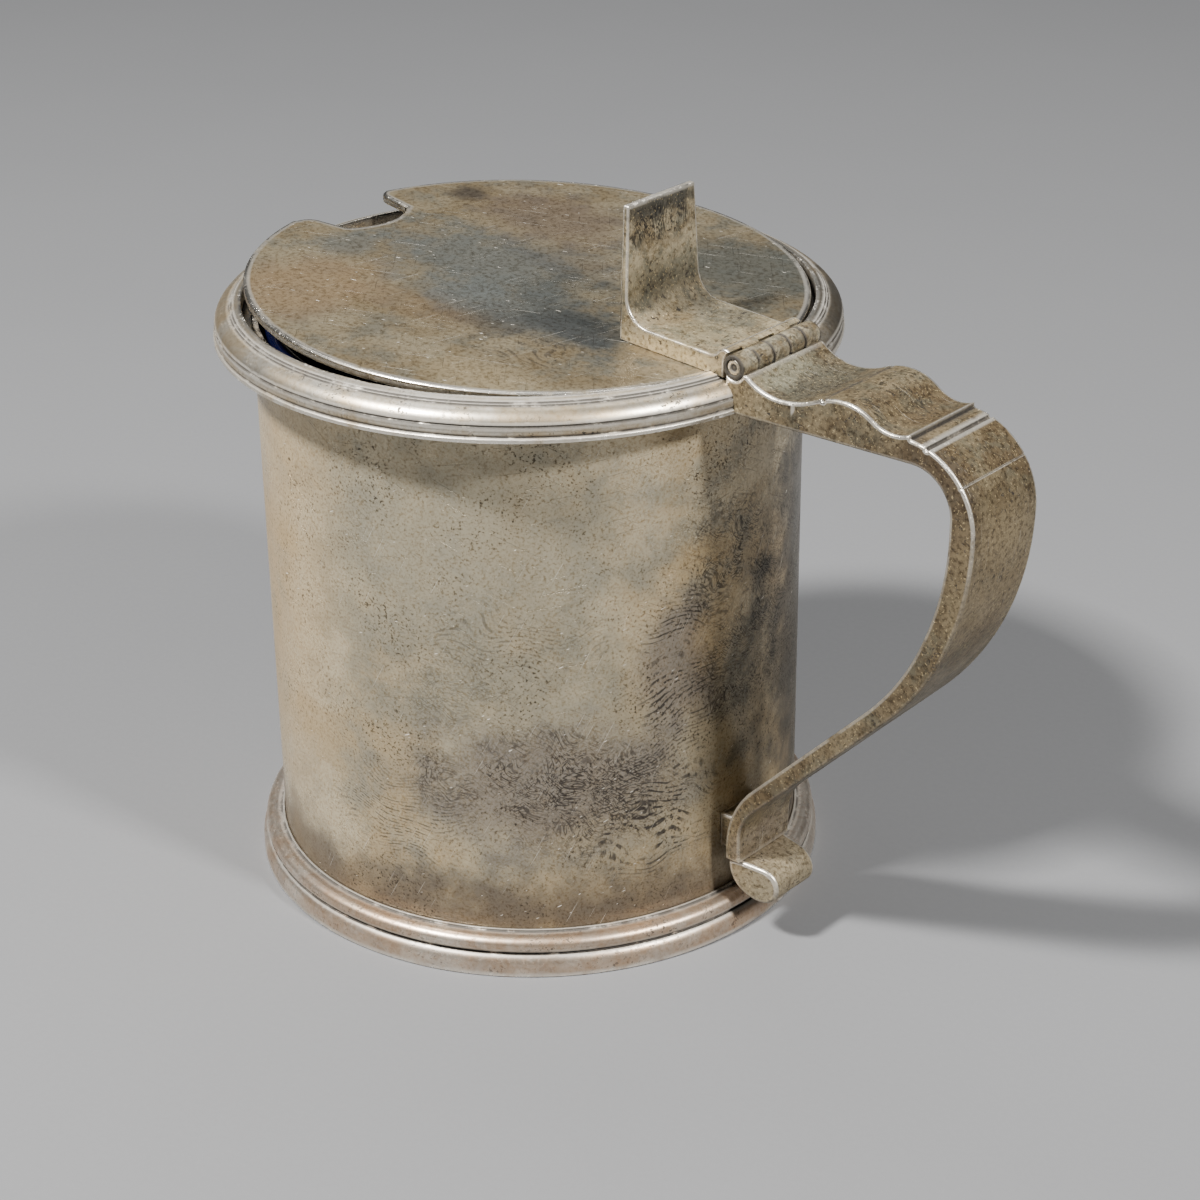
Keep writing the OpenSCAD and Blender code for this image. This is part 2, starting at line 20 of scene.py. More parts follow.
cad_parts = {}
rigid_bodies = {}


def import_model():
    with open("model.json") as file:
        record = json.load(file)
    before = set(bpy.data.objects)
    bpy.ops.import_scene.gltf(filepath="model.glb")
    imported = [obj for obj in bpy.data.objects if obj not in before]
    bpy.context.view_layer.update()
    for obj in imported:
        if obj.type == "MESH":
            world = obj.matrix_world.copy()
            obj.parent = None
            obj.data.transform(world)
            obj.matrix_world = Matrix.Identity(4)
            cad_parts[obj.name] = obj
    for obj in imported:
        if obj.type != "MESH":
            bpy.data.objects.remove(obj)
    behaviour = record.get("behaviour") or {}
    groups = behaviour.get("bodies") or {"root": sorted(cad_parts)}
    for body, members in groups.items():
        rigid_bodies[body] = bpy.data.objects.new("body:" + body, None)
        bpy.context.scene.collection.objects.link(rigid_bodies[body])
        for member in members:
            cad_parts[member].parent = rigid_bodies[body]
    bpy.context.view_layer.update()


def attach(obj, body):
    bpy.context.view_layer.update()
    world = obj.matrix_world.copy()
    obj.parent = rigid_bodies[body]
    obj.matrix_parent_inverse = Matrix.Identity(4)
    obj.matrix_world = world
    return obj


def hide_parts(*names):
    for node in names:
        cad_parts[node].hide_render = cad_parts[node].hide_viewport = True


for leftover in list(bpy.data.objects):
    bpy.data.objects.remove(leftover)

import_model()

LOG = logging.getLogger("mustard_pot")

MM = 0.001
FULL_TURN = 2 * math.pi
MERGE_MM = 0.0005
SHARP_TURN = math.radians(40)
CORNER_TURN = math.radians(24)
TINY_LENGTH = 1e-9
TINY_SQUARE = 1e-12
TINY_AREA = 1e-15

# Sizes in millimetres that more than one sub-assembly works to.
DRUM_R = 29.8
MOUTH_R = 30.8
RIM_LOW = 63.1
LEDGE = 65.1

TOP_LEVEL = 255

# How a line is softened, divided and rubbed.
CURVE_SHARES = (0.0, 0.25, 0.5, 0.75, 1.0)
CURVE_REACH = 0.45
GROOVE_NEAR = 2.5
GROOVE_STEPS = 4
GROOVE_LIP = 1.7
LEAST_MITRE = 0.5
INSET_SHARE = 0.97
LEVEL_RUB = 0.5
UPWARD_RUB = 0.6
LEAST_RUB = 0.2

# How a flank is filled: inner points keep clear of its border by a share of the grid.
FLANK_CLEAR = 0.5
FLANK_WELD = 1e-6
INSIDE_ONLY = 1

WEAR, GRIME = "wear", "grime"

Point = tuple[float, float]
Groove = tuple[Point, float]
Array = np.ndarray
Shaper = Callable[[Array], Array]
Sockets = dict[str | int, object]
Mesh = bpy.types.Mesh
Material = bpy.types.Material
Colour = tuple[float, float, float, float]


class Body(Enum):
    """The two bodies that the hinge joins."""

    POT = "pot"
    LID = "lid"


class Slot(Enum):
    """The record's material slots."""

    DRUM = "drum_silver"
    FOOT = "foot_silver"
    RIM = "rim_silver"
    LID = "lid_silver"
    HANDLE = "handle_silver"
    THUMB = "thumb_silver"
    HINGE = "hinge_silver"
    PIN = "pin_metal"
    GLASS = "cobalt_glass"


class Plane(Enum):
    """The plane that a slab's outline is drawn in."""

    SIDE = "side"
    PLAN = "plan"


class Mark(Enum):
    """What a patch of colour is made of."""

    PLAIN = "plain"
    RIDGES = "finger ridges"
    STROKES = "short strokes"


def tone(*levels: int) -> Colour:
    """Turn a screen colour with levels up to 255 into the linear colour that a shader takes."""
    linear = Color([level / TOP_LEVEL for level in levels]).from_srgb_to_scene_linear()
    return (linear.r, linear.g, linear.b, 1.0)


# Outlines


def on_arc(centre: Point, radius: float, degrees: float) -> Point:
    """Return the point of a circle at an angle."""
    turn = math.radians(degrees)
    return (centre[0] + radius * math.cos(turn), centre[1] + radius * math.sin(turn))


def arc(centre: Point, radius: float, start: float, end: float, step: float = 2.5) -> list[Point]:
    """List points from one angle in degrees to another, both included and at most a step apart."""
    count = max(2, math.ceil(abs(end - start) / step))
    return [on_arc(centre, radius, start + (end - start) * i / count) for i in range(count + 1)]


def mirrored(end: list[Point]) -> list[Point]:
    """List the points of a turned piece's low end and of its high end, which mirrors it."""
    return end + [(radius, -place) for radius, place in end[::-1]]


def heading(start: Point, end: Point) -> float:
    """Return the direction from one point to another in degrees."""
    return math.degrees(math.atan2(end[1] - start[1], end[0] - start[0]))


def crossing(first: Point, first_r: float, second: Point, second_r: float) -> Point:
    """Find the outer crossing of two circles, the second above the first.

    Args:
        first: Centre of the first circle.
        first_r: Radius of the first circle.
        second: Centre of the second circle.
        second_r: Radius of the second circle.

    Returns:
        The crossing on the side of larger first coordinates.
    """
    across = (second[0] - first[0], second[1] - first[1])
    gap = math.hypot(*across)
    along = (first_r**2 - second_r**2 + gap**2) / (2 * gap)
    rise = math.sqrt(first_r**2 - along**2)
    return (
        first[0] + (across[0] * along + across[1] * rise) / gap,
        first[1] + (across[1] * along - across[0] * rise) / gap,
    )


def along(line: Array) -> Array:
    """Return the distance of each point along an open line."""
    return np.concatenate([[0.0], np.cumsum(np.hypot(*np.diff(line, axis=0).T))])


def away_from(points: Array, spot: Sequence[float]) -> Array:
    """Return the distance of each point from a spot."""
    return np.hypot(*(points - np.array(spot)).T)


@dataclass(frozen=True)
class Drawing:
    """How a line is drawn.

    Attributes:
        soft: Radius that rounds a corner.
        step: Longest stretch between neighbours.
        fade: Distance over which wear and dirt run out.
    """

    soft: float
    step: float
    fade: float


def outward(line: Array, closed: bool) -> Array:
    """Find the outward direction at each point of a line.

    Args:
        line: Points of the line.
        closed: Whether the line is closed.

    Returns:
        The directions, longer than one where the line turns.
    """
    if closed:
        ahead = np.roll(line, -1, 0) - line
    else:
        ahead = np.vstack([np.diff(line, axis=0), line[-1:] - line[-2:-1]])
    side = np.stack([ahead[:, 1], -ahead[:, 0]], 1)
    side /= np.maximum(np.hypot(*side.T), TINY_LENGTH)[:, None]
    mean = side + (np.roll(side, 1, 0) if closed else np.vstack([side[:1], side[:-1]]))
    mean /= np.maximum(np.hypot(*mean.T), TINY_LENGTH)[:, None]
    mitre = np.maximum(np.sum(mean * side, 1), LEAST_MITRE)
    return mean / mitre[:, None]


@dataclass
class Tracer:
    """A line while it is drawn, with 1 at outer corners, -1 at inner ones and in grooves, and 0 elsewhere."""

    line: Array
    marks: Array
    drawing: Drawing
    grooves: Sequence[Groove]
    closed: bool

    def soften(self) -> None:
        """Replace sharp corners by short curves."""
        points: list[Array] = []
        marks: list[int] = []
        count = len(self.line)
        for i, here in enumerate(self.line):
            inner = self.closed or 0 < i < count - 1
            before = here - self.line[i - 1]
            after = self.line[(i + 1) % count] - here
            turn = math.atan2(before[0] * after[1] - before[1] * after[0], before @ after)
            if not inner or abs(turn) < CORNER_TURN:
                points.append(here)
                marks.append(0)
                continue
            into, out = np.hypot(*before), np.hypot(*after)
            curve = self.drawing.soft * math.tan(abs(turn) / 2)
            cut = min(curve, CURVE_REACH * into, CURVE_REACH * out)
            start = here - before / into * cut
            end = here + after / out * cut
            for share in CURVE_SHARES:
                rest = 1 - share
                points.append(rest**2 * start + 2 * rest * share * here + share**2 * end)
                marks.append(1 if turn > 0 else -1)
        self.line, self.marks = np.array(points), np.array(marks)

    def divide(self) -> None:
        """Divide long stretches, more finely beside the grooves."""
        points: list[Array] = []
        marks: list[int] = []
        count = len(self.line)
        for i, here in enumerate(self.line):
            points.append(here)
            marks.append(int(self.marks[i]))
            if i == count - 1 and not self.closed:
                break
            onward = self.line[(i + 1) % count] - here
            length = float(np.hypot(*onward))
            limit = self.drawing.step
            for centre, radius in self.grooves:
                share = np.clip((np.array(centre) - here) @ onward / length**2, 0, 1)
                if np.hypot(*(here + onward * share - np.array(centre))) < GROOVE_NEAR * radius:
                    limit = min(self.drawing.step, radius / GROOVE_STEPS)
            parts = math.ceil(length / limit)
            points += [here + onward * part / parts for part in range(1, parts)]
            marks += [0] * (parts - 1)
        self.line, self.marks = np.array(points), np.array(marks)

    def cut(self) -> None:
        """Press the grooves into the line."""
        normals = outward(self.line, self.closed)
        for centre, radius in self.grooves:
            away = away_from(self.line, centre)
            inside = away < radius
            depth = np.sqrt(np.maximum(radius**2 - away**2, 0))
            self.line = self.line - normals * depth[:, None]
            self.marks = np.where((away < GROOVE_LIP * radius) & ~inside, 1, self.marks)
            self.marks = np.where(inside, -1, self.marks)

    def fall(self, sign: int) -> Array:
        """Let the marks of one sign run out along the line.

        Args:
            sign: 1 for outer corners or -1 for inner ones.

        Returns:
            Values from 1 at a mark to 0 beyond the fade.
        """
        reach = along(self.line)
        marked = reach[self.marks * sign > 0]
        if not len(marked):
            return np.zeros(len(reach))
        away = np.abs(reach[:, None] - marked[None, :])
        if self.closed:
            loop = reach[-1] + math.hypot(*(self.line[0] - self.line[-1]))
            away = np.minimum(away, loop - away)
        return np.clip(1 - away.min(1) / self.drawing.fade, 0, 1)


@dataclass
class Outline:
    """A closed or open line of points with the wear and grime of each.

    Attributes:
        points: Places along the line, counterclockwise where it is closed.
        wear: From 0 to 1, how far each point is rubbed bright.
        grime: From 0 to 1, how much dirt each point holds.
        closed: Whether the last point runs on into the first.
    """

    points: Array
    wear: Array
    grime: Array
    closed: bool = True

    @classmethod
    def trace(
        cls,
        corners: Sequence[Point],
        drawing: Drawing,
        grooves: Sequence[Groove] = (),
        closed: bool = True,
    ) -> "Outline":
        """Round a line's corners, cut its grooves and mark what wears and what fills with dirt.

        Args:
            corners: Points of the line before it is softened.
            drawing: How the line is drawn.
            grooves: Centre and radius of each groove that is cut into the line.
            closed: Whether the line is closed.

        Returns:
            The finished outline.
        """
        line = np.array(corners, float)
        if closed:
            keep = np.hypot(*(line - np.roll(line, 1, 0)).T) > MERGE_MM
            line = line[keep]
            after = np.roll(line, -1, 0)
            if np.sum(line[:, 0] * after[:, 1] - after[:, 0] * line[:, 1]) < 0:
                line = line[::-1]
        tracer = Tracer(line, np.zeros(len(line), int), drawing, grooves, closed)
        tracer.soften()
        tracer.divide()
        tracer.cut()
        return cls(tracer.line, tracer.fall(1), tracer.fall(-1), closed)

    def exposure(self) -> Array:
        """Return how far each point's edge is rubbed: most on top, least underneath."""
        up = outward(self.points, self.closed)[:, 1]
        return np.clip(LEVEL_RUB + UPWARD_RUB * up, LEAST_RUB, 1.0)

    def inset(self, distance: float) -> Array:
        """Move a closed line inwards, without loops at its corners.

        Args:
            distance: How far the points move.

        Returns:
            The moved points.
        """
        if not distance:
            return self.points
        moved = self.points - outward(self.points, self.closed) * distance
        onward = np.roll(self.points, -1, 0) - self.points
        squared = np.maximum(np.sum(onward**2, 1), TINY_SQUARE)
        apart = moved[:, None, :] - self.points[None, :, :]
        share = np.clip(np.sum(apart * onward[None, :, :], 2) / squared[None, :], 0, 1)
        nearest = np.hypot(*(apart - share[:, :, None] * onward[None, :, :]).transpose(2, 0, 1)).min(1)
        good = nearest > INSET_SHARE * distance
        places = np.arange(len(moved))
        turned = ~good
        while turned.any():
            for axis in range(2):
                moved[:, axis] = np.interp(places, places[good], moved[good, axis], period=len(moved))
            turned = np.sum((np.roll(moved, -1, 0) - moved) * onward, 1) < 0
            turned = (turned | np.roll(turned, 1)) & good
            good &= ~turned
        return self._untangle(moved)

    @staticmethod
    def _untangle(line: Array) -> Array:
        """Draw each small loop of a closed line together into the point where it crosses itself.

        Args:
            line: Points of the line.

        Returns:
            The points without loops.
        """
        count = len(line)
        for gap in range(2, count // 4):
            onward = np.roll(line, -1, 0) - line
            other = np.roll(onward, -gap, 0)
            lead = np.roll(line, -gap, 0) - line
            area = onward[:, 0] * other[:, 1] - onward[:, 1] * other[:, 0]
            area = np.where(np.abs(area) < TINY_AREA, TINY_AREA, area)
            here = (lead[:, 0] * other[:, 1] - lead[:, 1] * other[:, 0]) / area
            there = (lead[:, 0] * onward[:, 1] - lead[:, 1] * onward[:, 0]) / area
            crossed = (here > 0) & (here < 1) & (there > 0) & (there < 1)
            for first in np.flatnonzero(crossed):
                spot = line[first] + onward[first] * here[first]
                line[np.arange(first + 1, first + gap + 1) % count] = spot
        return line


# Meshes


@dataclass(frozen=True)
class Row:
    """One line of points across a slab: how far it lies inside which outline, where, and how worn."""

    inset: float
    place: float
    wear: float
    shape: int = 0


@dataclass
class Slab:
    """A cast or cut piece: an outline with a width, its edges rounded.

    Attributes:
        shapes: Outlines with equal numbers of points, one or two.
        half: Half the width before it tapers.
        edge: Radius of the rounded edges.
        fade: Width of the worn strip beside an edge.
        plane: Plane of the outline.
        spans: Stretches of the width, each with the outline that it follows.
        taper: Half width at each point of an outline, where the width changes.
        turn: Steps of each rounded edge.
        grid: Distance between the inner points of a flank.
        rub: Share of the wear at each point of an outline, where it changes.
    """

    shapes: Sequence[Outline]
    half: float
    edge: float
    fade: float
    plane: Plane = Plane.SIDE
    spans: Sequence[tuple[float, float, int]] = ()
    taper: Shaper | None = None
    turn: int = 4
    grid: float = 0.8
    rub: Shaper | None = None

    def rows(self) -> list[Row]:
        """List the lines of points from one flank to the other.

        Returns:
            The lines, the nearest flank's first.
        """
        spans = self.spans or ((-self.half, self.half, 0),)
        first, last = spans[0][2], spans[-1][2]
        inner = self.half - self.edge - self.fade
        near = [Row(self.edge + self.fade, -self.half, 0.0, first)]
        far = [Row(self.edge + self.fade, self.half, 0.0, last)]
        for i in range(self.turn + 1):
            angle = math.pi / 2 * i / self.turn
            inset = self.edge * (1 - math.sin(angle))
            place = self.half - self.edge * (1 - math.cos(angle))
            near.append(Row(inset, -place, 1.0, first))
            far.append(Row(inset, place, 1.0, last))
        middle = [Row(0.0, -inner, 0.0, first)]
        for start, end, shape in spans:
            low, high = max(start, -inner), min(end, inner)
            middle += [Row(0.0, low, 0.0, shape), Row(0.0, high, 0.0, shape)]
        middle.append(Row(0.0, inner, 0.0, last))
        return near + middle + far[::-1]

    def mesh(self, name: str, shift: Shaper | None = None) -> Mesh:
        """Build the slab.

        Args:
            name: Name of the mesh.
            shift: Moves the points, in millimetres, once they are in place.

        Returns:
            A closed mesh with wear and grime on its points.
        """
        lines = self.rows()
        count = len(self.shapes[0].points)
        if any(len(shape.points) != count for shape in self.shapes):
            raise ValueError(f"{name}: outlines differ in their numbers of points")
        places, wear, grime = [], [], []
        for row in lines:
            shape = self.shapes[row.shape]
            places.append(self._lift(shape.inset(row.inset), row.place))
            rubbed = shape.exposure() if self.plane is Plane.SIDE else np.ones(count)
            if self.rub:
                rubbed = rubbed * self.rub(shape.points)
            open_face = float(row.inset <= self.edge)
            wear.append(np.maximum(shape.wear * open_face, row.wear) * rubbed)
            grime.append(shape.grime * (1 - row.wear) * open_face)
        faces = []
        for i in range(len(lines) - 1):
            for k in range(count):
                here, after = i * count + k, i * count + (k + 1) % count
                faces.append([here, after, after + count, here + count])
        total = len(lines) * count
        for first, row in ((0, lines[0]), (total - count, lines[-1])):
            inner, flank = self._flank(self.shapes[row.shape].inset(row.inset), first, total)
            places.append(self._lift(inner, row.place))
            wear.append(np.zeros(len(inner)))
            grime.append(np.zeros(len(inner)))
            faces += flank
            total += len(inner)
        points = np.concatenate(places)
        if shift:
            points = shift(points)
        return solid_mesh(name, points, faces, np.concatenate(wear), np.concatenate(grime))

    def _lift(self, flat: Array, place: float) -> Array:
        """Bring points of the outline's plane to their place across the width.

        Args:
            flat: Points in the plane.
            place: Distance from the middle before it tapers.

        Returns:
            Points in space.
        """
        half = self.taper(flat) if self.taper else np.full(len(flat), self.half)
        width = place * half / self.half
        if self.plane is Plane.PLAN:
            return np.stack([flat[:, 0], flat[:, 1], width], 1)
        return np.stack([flat[:, 0], width, flat[:, 1]], 1)

    def _flank(self, border: Array, first: int, total: int) -> tuple[Array, list[list[int]]]:
        """Fill a flank with even triangles.

        Args:
            border: Points of its border in the plane.
            first: Number of the first border point in the mesh.
            total: Number that the first inner point gets.

        Returns:
            The inner points in the plane, and the triangles.
        """
        low, high = border.min(0), border.max(0)
        sides = [np.arange(low[axis], high[axis], self.grid) for axis in range(2)]
        inner = np.stack(np.meshgrid(*sides), 2).reshape(-1, 2)
        away = np.hypot(*(inner[:, None, :] - border[None, :, :]).transpose(2, 0, 1)).min(1)
        inner = inner[away > FLANK_CLEAR * self.grid]
        count = len(border)
        spots = [Vector(spot) for spot in np.vstack([border, inner])]
        edges = [(k, (k + 1) % count) for k in range(count)]
        whole = [list(range(count))]
        made, _, triangles, sources, _, _ = delaunay_2d_cdt(spots, edges, whole, INSIDE_ONLY, FLANK_WELD)
        numbers: dict[int, int] = {}
        kept: list[tuple[float, float]] = []
        for place in sorted({corner for triangle in triangles for corner in triangle}):
            if sources[place] and min(sources[place]) < count:
                numbers[place] = first + min(sources[place])
            else:
                numbers[place] = total + len(kept)
                kept.append(tuple(made[place]))
        return np.array(kept).reshape(-1, 2), [[numbers[k] for k in triangle] for triangle in triangles]


def solid_mesh(
    name: str,
    points: Array,
    faces: Sequence[Sequence[int]],
    wear: Array,
    grime: Array,
) -> Mesh:
    """Make a closed, smooth mesh from points in millimetres.

    Args:
        name: Name of the mesh.
        points: Places of the points.
        faces: Point numbers of each face.
        wear: Wear of each point.
        grime: Grime of each point.

    Returns:
        The mesh in metres, its doubles merged and its faces outward.
    """
    shell = bmesh.new()
    worn = shell.verts.layers.float.new(WEAR)
    dirty = shell.verts.layers.float.new(GRIME)
    made = []
    for place, rub, dirt in zip(points, wear, grime):
        vert = shell.verts.new(place * MM)
        vert[worn] = rub
        vert[dirty] = dirt
        made.append(vert)
    for face in faces:
        shell.faces.new([made[i] for i in face])
    bmesh.ops.remove_doubles(shell, verts=shell.verts, dist=MERGE_MM * MM)
    bmesh.ops.recalc_face_normals(shell, faces=shell.faces)
    for face in shell.faces:
        face.smooth = True
    mesh = bpy.data.meshes.new(name)
    shell.to_mesh(mesh)
    shell.free()
    mesh.set_sharp_from_angle(angle=SHARP_TURN)
    return mesh


def operator(operation: str, flipped: bool = False) -> Callable[["Value", "Value | float"], "Value"]:
    """Make an operator of Value.

    Args:
        operation: Operation of the Math node that it adds.
        flipped: Whether the other value comes first.

    Returns:
        The operator.
    """

    def apply(value: "Value", other: "Value | float") -> "Value":
        """Add the Math node."""
        return value.nodes.math(operation, *((other, value) if flipped else (value, other)))

    return apply


class Value:
    """A node's output that adds Math nodes when it is used in an expression."""

    def __init__(self, nodes: "Nodes", socket: bpy.types.NodeSocket) -> None:
        """Wrap an output of a tree."""
        self.nodes = nodes
        self.socket = socket

    __add__ = __radd__ = operator("ADD")
    __sub__ = operator("SUBTRACT")
    __rsub__ = operator("SUBTRACT", flipped=True)
    __mul__ = __rmul__ = operator("MULTIPLY")
    __truediv__ = operator("DIVIDE")
    __rtruediv__ = operator("DIVIDE", flipped=True)
    over = operator("MAXIMUM")


class Nodes:
    """A tree of nodes that is built link by link."""

    tree: bpy.types.NodeTree

    def node(
        self,
        kind: str,
        settings: dict[str, object] | None = None,
        sockets: Sockets | None = None,
        out: str | int = 0,
    ) -> Value:
        """Add a node.

        Args:
            kind: Type of the node.
            settings: Properties, which are set first.
            sockets: Values or links of its inputs.
            out: Output to return.

        Returns:
            The output, ready for expressions.
        """
        made = self.tree.nodes.new(kind)
        for label, value in (settings or {}).items():
            setattr(made, label, value)
        for label, value in (sockets or {}).items():
            if isinstance(value, Value):
                self.tree.links.new(value.socket, made.inputs[label])
            else:
                made.inputs[label].default_value = value
        return Value(self, made.outputs[out])

    def math(self, operation: str, *values: object) -> Value:
        """Add a Math node on values or numbers."""
        return self.node("ShaderNodeMath", {"operation": operation}, dict(enumerate(values)))

    def vector_math(self, operation: str, sockets: Sockets, out: str | int = 0) -> Value:
        """Add a Vector Math node."""
        return self.node("ShaderNodeVectorMath", {"operation": operation}, sockets, out)

    def split(self, vector: Value) -> list[Value]:
        """Separate a vector into its three parts."""
        parts = self.node("ShaderNodeSeparateXYZ", None, {0: vector}).socket.node
        return [Value(self, socket) for socket in parts.outputs]


class NodeTree(Nodes):
    """A Geometry Nodes tree with named inputs."""

    def __init__(self, name: str, inputs: Sequence[tuple[str, str]]) -> None:
        """Make the tree and its sockets.

        Args:
            name: Name of the tree.
            inputs: Name and kind of each input after the geometry.
        """
        self.tree = bpy.data.node_groups.new(name, "GeometryNodeTree")
        face = self.tree.interface
        for label, kind in (("Geometry", "Geometry"), *inputs):
            face.new_socket(label, in_out="INPUT", socket_type="NodeSocket" + kind)
        face.new_socket("Geometry", in_out="OUTPUT", socket_type="NodeSocketGeometry")
        self.start = self.tree.nodes.new("NodeGroupInput")
        self.end = self.tree.nodes.new("NodeGroupOutput")

    def given(self, label: str) -> Value:
        """Return the output of the tree's own input."""
        return Value(self, self.start.outputs[label])

    def finish(self, geometry: Value) -> None:
        """End the tree in Realize Instances and Set Material.

        Args:
            geometry: What the tree has built.
        """
        real = self.node("GeometryNodeRealizeInstances", None, {"Geometry": geometry})
        smooth = self.node("GeometryNodeSetShadeSmooth", None, {"Geometry": real})
        sockets = {"Geometry": smooth, "Material": self.given("Material")}
        painted = self.node("GeometryNodeSetMaterial", None, sockets)
        self.tree.links.new(painted.socket, self.end.inputs["Geometry"])

    def run(self, name: str, mesh: Mesh, values: dict[str, object]) -> Mesh:
        """Run the tree on a mesh.

        Args:
            name: Name of the result.
            mesh: Mesh that the tree starts from.
            values: Values of the tree's named inputs.

        Returns:
            The result as a plain mesh.
        """
        holder = bpy.data.objects.new(name + "_tree", mesh)
        bpy.context.scene.collection.objects.link(holder)
        modifier = holder.modifiers.new("tree", "NODES")
        modifier.node_group = self.tree
        items = self.tree.interface.items_tree
        names = {item.name: item.identifier for item in items if item.in_out == "INPUT"}
        for label, value in values.items():
            modifier[names[label]] = value
        graph = bpy.context.evaluated_depsgraph_get()
        graph.update()
        made = bpy.data.meshes.new_from_object(
            holder.evaluated_get(graph), preserve_all_data_layers=True, depsgraph=graph
        )
        made.name = name
        holder.modifiers.remove(modifier)
        bpy.data.objects.remove(holder)
        return made


@dataclass(frozen=True)
class Turning:
    """How a profile is turned.

    Attributes:
        segments: Steps round the axis.
        wave: Depth of the hand-worked waves.
        wave_size: Length of the waves.
        seed: Number that sets the waves apart from other pieces.
    """

    segments: int
    wave: float = 0.0
    wave_size: float = 9.0
    seed: float = 0.0


class TurnedTree(NodeTree):
    """Turns a profile about the drum's axis, with a gap for the handle where there is one."""

    grid_middle = 0.5
    wave_detail = 2.0

    def __init__(self) -> None:
        """Build the tree."""
        sizes = ("Gap half width", "Waviness", "Wave size", "Seed")
        inputs = [("Segments", "Int"), *((size, "Float") for size in sizes), ("Material", "Material")]
        super().__init__("turned_piece", inputs)
        profile = self.given("Geometry")
        count = self.node("GeometryNodeAttributeDomainSize", {"component": "MESH"}, {"Geometry": profile})
        grid = self.node(
            "GeometryNodeMeshGrid",
            None,
            {"Size X": 1.0, "Size Y": 1.0, "Vertices X": count, "Vertices Y": self.given("Segments") + 1},
        )
        position = self.node("GeometryNodeInputPosition")
        down, across, _ = self.split(position)
        index = self.math("ROUND", (down + self.grid_middle) * (count - 1))
        for label in (WEAR, GRIME):
            value = self.node("GeometryNodeInputNamedAttribute", {"data_type": "FLOAT"}, {"Name": label})
            grid = self.node(
                "GeometryNodeStoreNamedAttribute",
                {"data_type": "FLOAT", "domain": "POINT"},
                {"Geometry": grid, "Name": label, "Value": self._pick("FLOAT", value, index)},
            )
        radius, _, height = self.split(self._pick("FLOAT_VECTOR", position, index))
        lead = self.math("ARCSINE", self.given("Gap half width") / radius)
        angle = lead + (across + self.grid_middle) * (FULL_TURN - lead * 2)
        turned = self.node(
            "ShaderNodeCombineXYZ",
            None,
            {"X": radius * self.math("COSINE", angle), "Y": radius * self.math("SINE", angle), "Z": height},
        )
        shell = self.node("GeometryNodeSetPosition", None, {"Geometry": grid, "Position": turned})
        sockets = {"Geometry": shell, "Distance": MERGE_MM * MM}
        self.finish(self._ripple(self.node("GeometryNodeMergeByDistance", None, sockets)))

    def _pick(self, kind: str, value: Value, index: Value) -> Value:
        """Read a value of the profile.

        Args:
            kind: Data type of the value.
            value: The value.
            index: Number of the point.

        Returns:
            The value at that point.
        """
        settings = {"data_type": kind, "domain": "POINT", "clamp": True}
        sockets = {"Geometry": self.given("Geometry"), "Value": value, "Index": index}
        return self.node("GeometryNodeSampleIndex", settings, sockets)

    def _ripple(self, shell: Value) -> Value:
        """Sink the surface a little, as hand work leaves it.

        Args:
            shell: The turned mesh.

        Returns:
            The mesh with its points moved inwards.
        """
        waves = self.node(
            "ShaderNodeTexNoise",
            {"noise_dimensions": "4D"},
            {
                "Vector": self.node("GeometryNodeInputPosition"),
                "W": self.given("Seed"),
                "Scale": 1.0 / self.given("Wave size"),
                "Detail": self.wave_detail,
            },
        )
        depth = waves * self.given("Waviness") * -1.0
        normal = self.node("GeometryNodeInputNormal")
        offset = self.vector_math("SCALE", {"Vector": normal, "Scale": depth})
        return self.node("GeometryNodeSetPosition", None, {"Geometry": shell, "Offset": offset})

    def turn(
        self,
        name: str,
        profile: Outline,
        material: Material,
        turning: Turning,
        gap: float = 0.0,
    ) -> Mesh:
        """Turn a profile of radius and height.

        Args:
            name: Name of the mesh.
            profile: Outline in radius and height.
            material: Finish of the piece.
            turning: How the profile is turned.
            gap: Half width of the gap at the handle.

        Returns:
            The closed mesh.
        """
        order = list(range(len(profile.points)))[::-1]
        if profile.closed:
            order.append(order[0])
        line = bpy.data.meshes.new(name + "_profile")
        spots = [(profile.points[i][0] * MM, 0.0, profile.points[i][1] * MM) for i in order]
        line.from_pydata(spots, [(i, i + 1) for i in range(len(order) - 1)], [])
        for label, values in ((WEAR, profile.wear), (GRIME, profile.grime)):
            layer = line.attributes.new(label, "FLOAT", "POINT")
            layer.data.foreach_set("value", np.ascontiguousarray(values[order], np.float32))
        made = self.run(
            name,
            line,
            {
                "Segments": turning.segments,
                "Gap half width": gap * MM,
                "Waviness": turning.wave * MM,
                "Wave size": turning.wave_size * MM,
                "Seed": turning.seed,
                "Material": material,
            },
        )
        if gap:
            close_ends(made)
        made.set_sharp_from_angle(angle=SHARP_TURN)
        return made


class BarrelTree(NodeTree):
    """Repeats a knuckle along the hinge."""

    def __init__(self) -> None:
        """Build the tree."""
        inputs = (("Count", "Int"), ("Start", "Vector"), ("Step", "Vector"), ("Material", "Material"))
        super().__init__("hinge_barrel", inputs)
        places = {"Count": "Count", "Start Location": "Start", "Offset": "Step"}
        sockets = {socket: self.given(label) for socket, label in places.items()}
        line = self.node("GeometryNodeMeshLine", {"mode": "OFFSET"}, sockets)
        sockets = {"Points": line, "Instance": self.given("Geometry")}
        self.finish(self.node("GeometryNodeInstanceOnPoints", None, sockets))


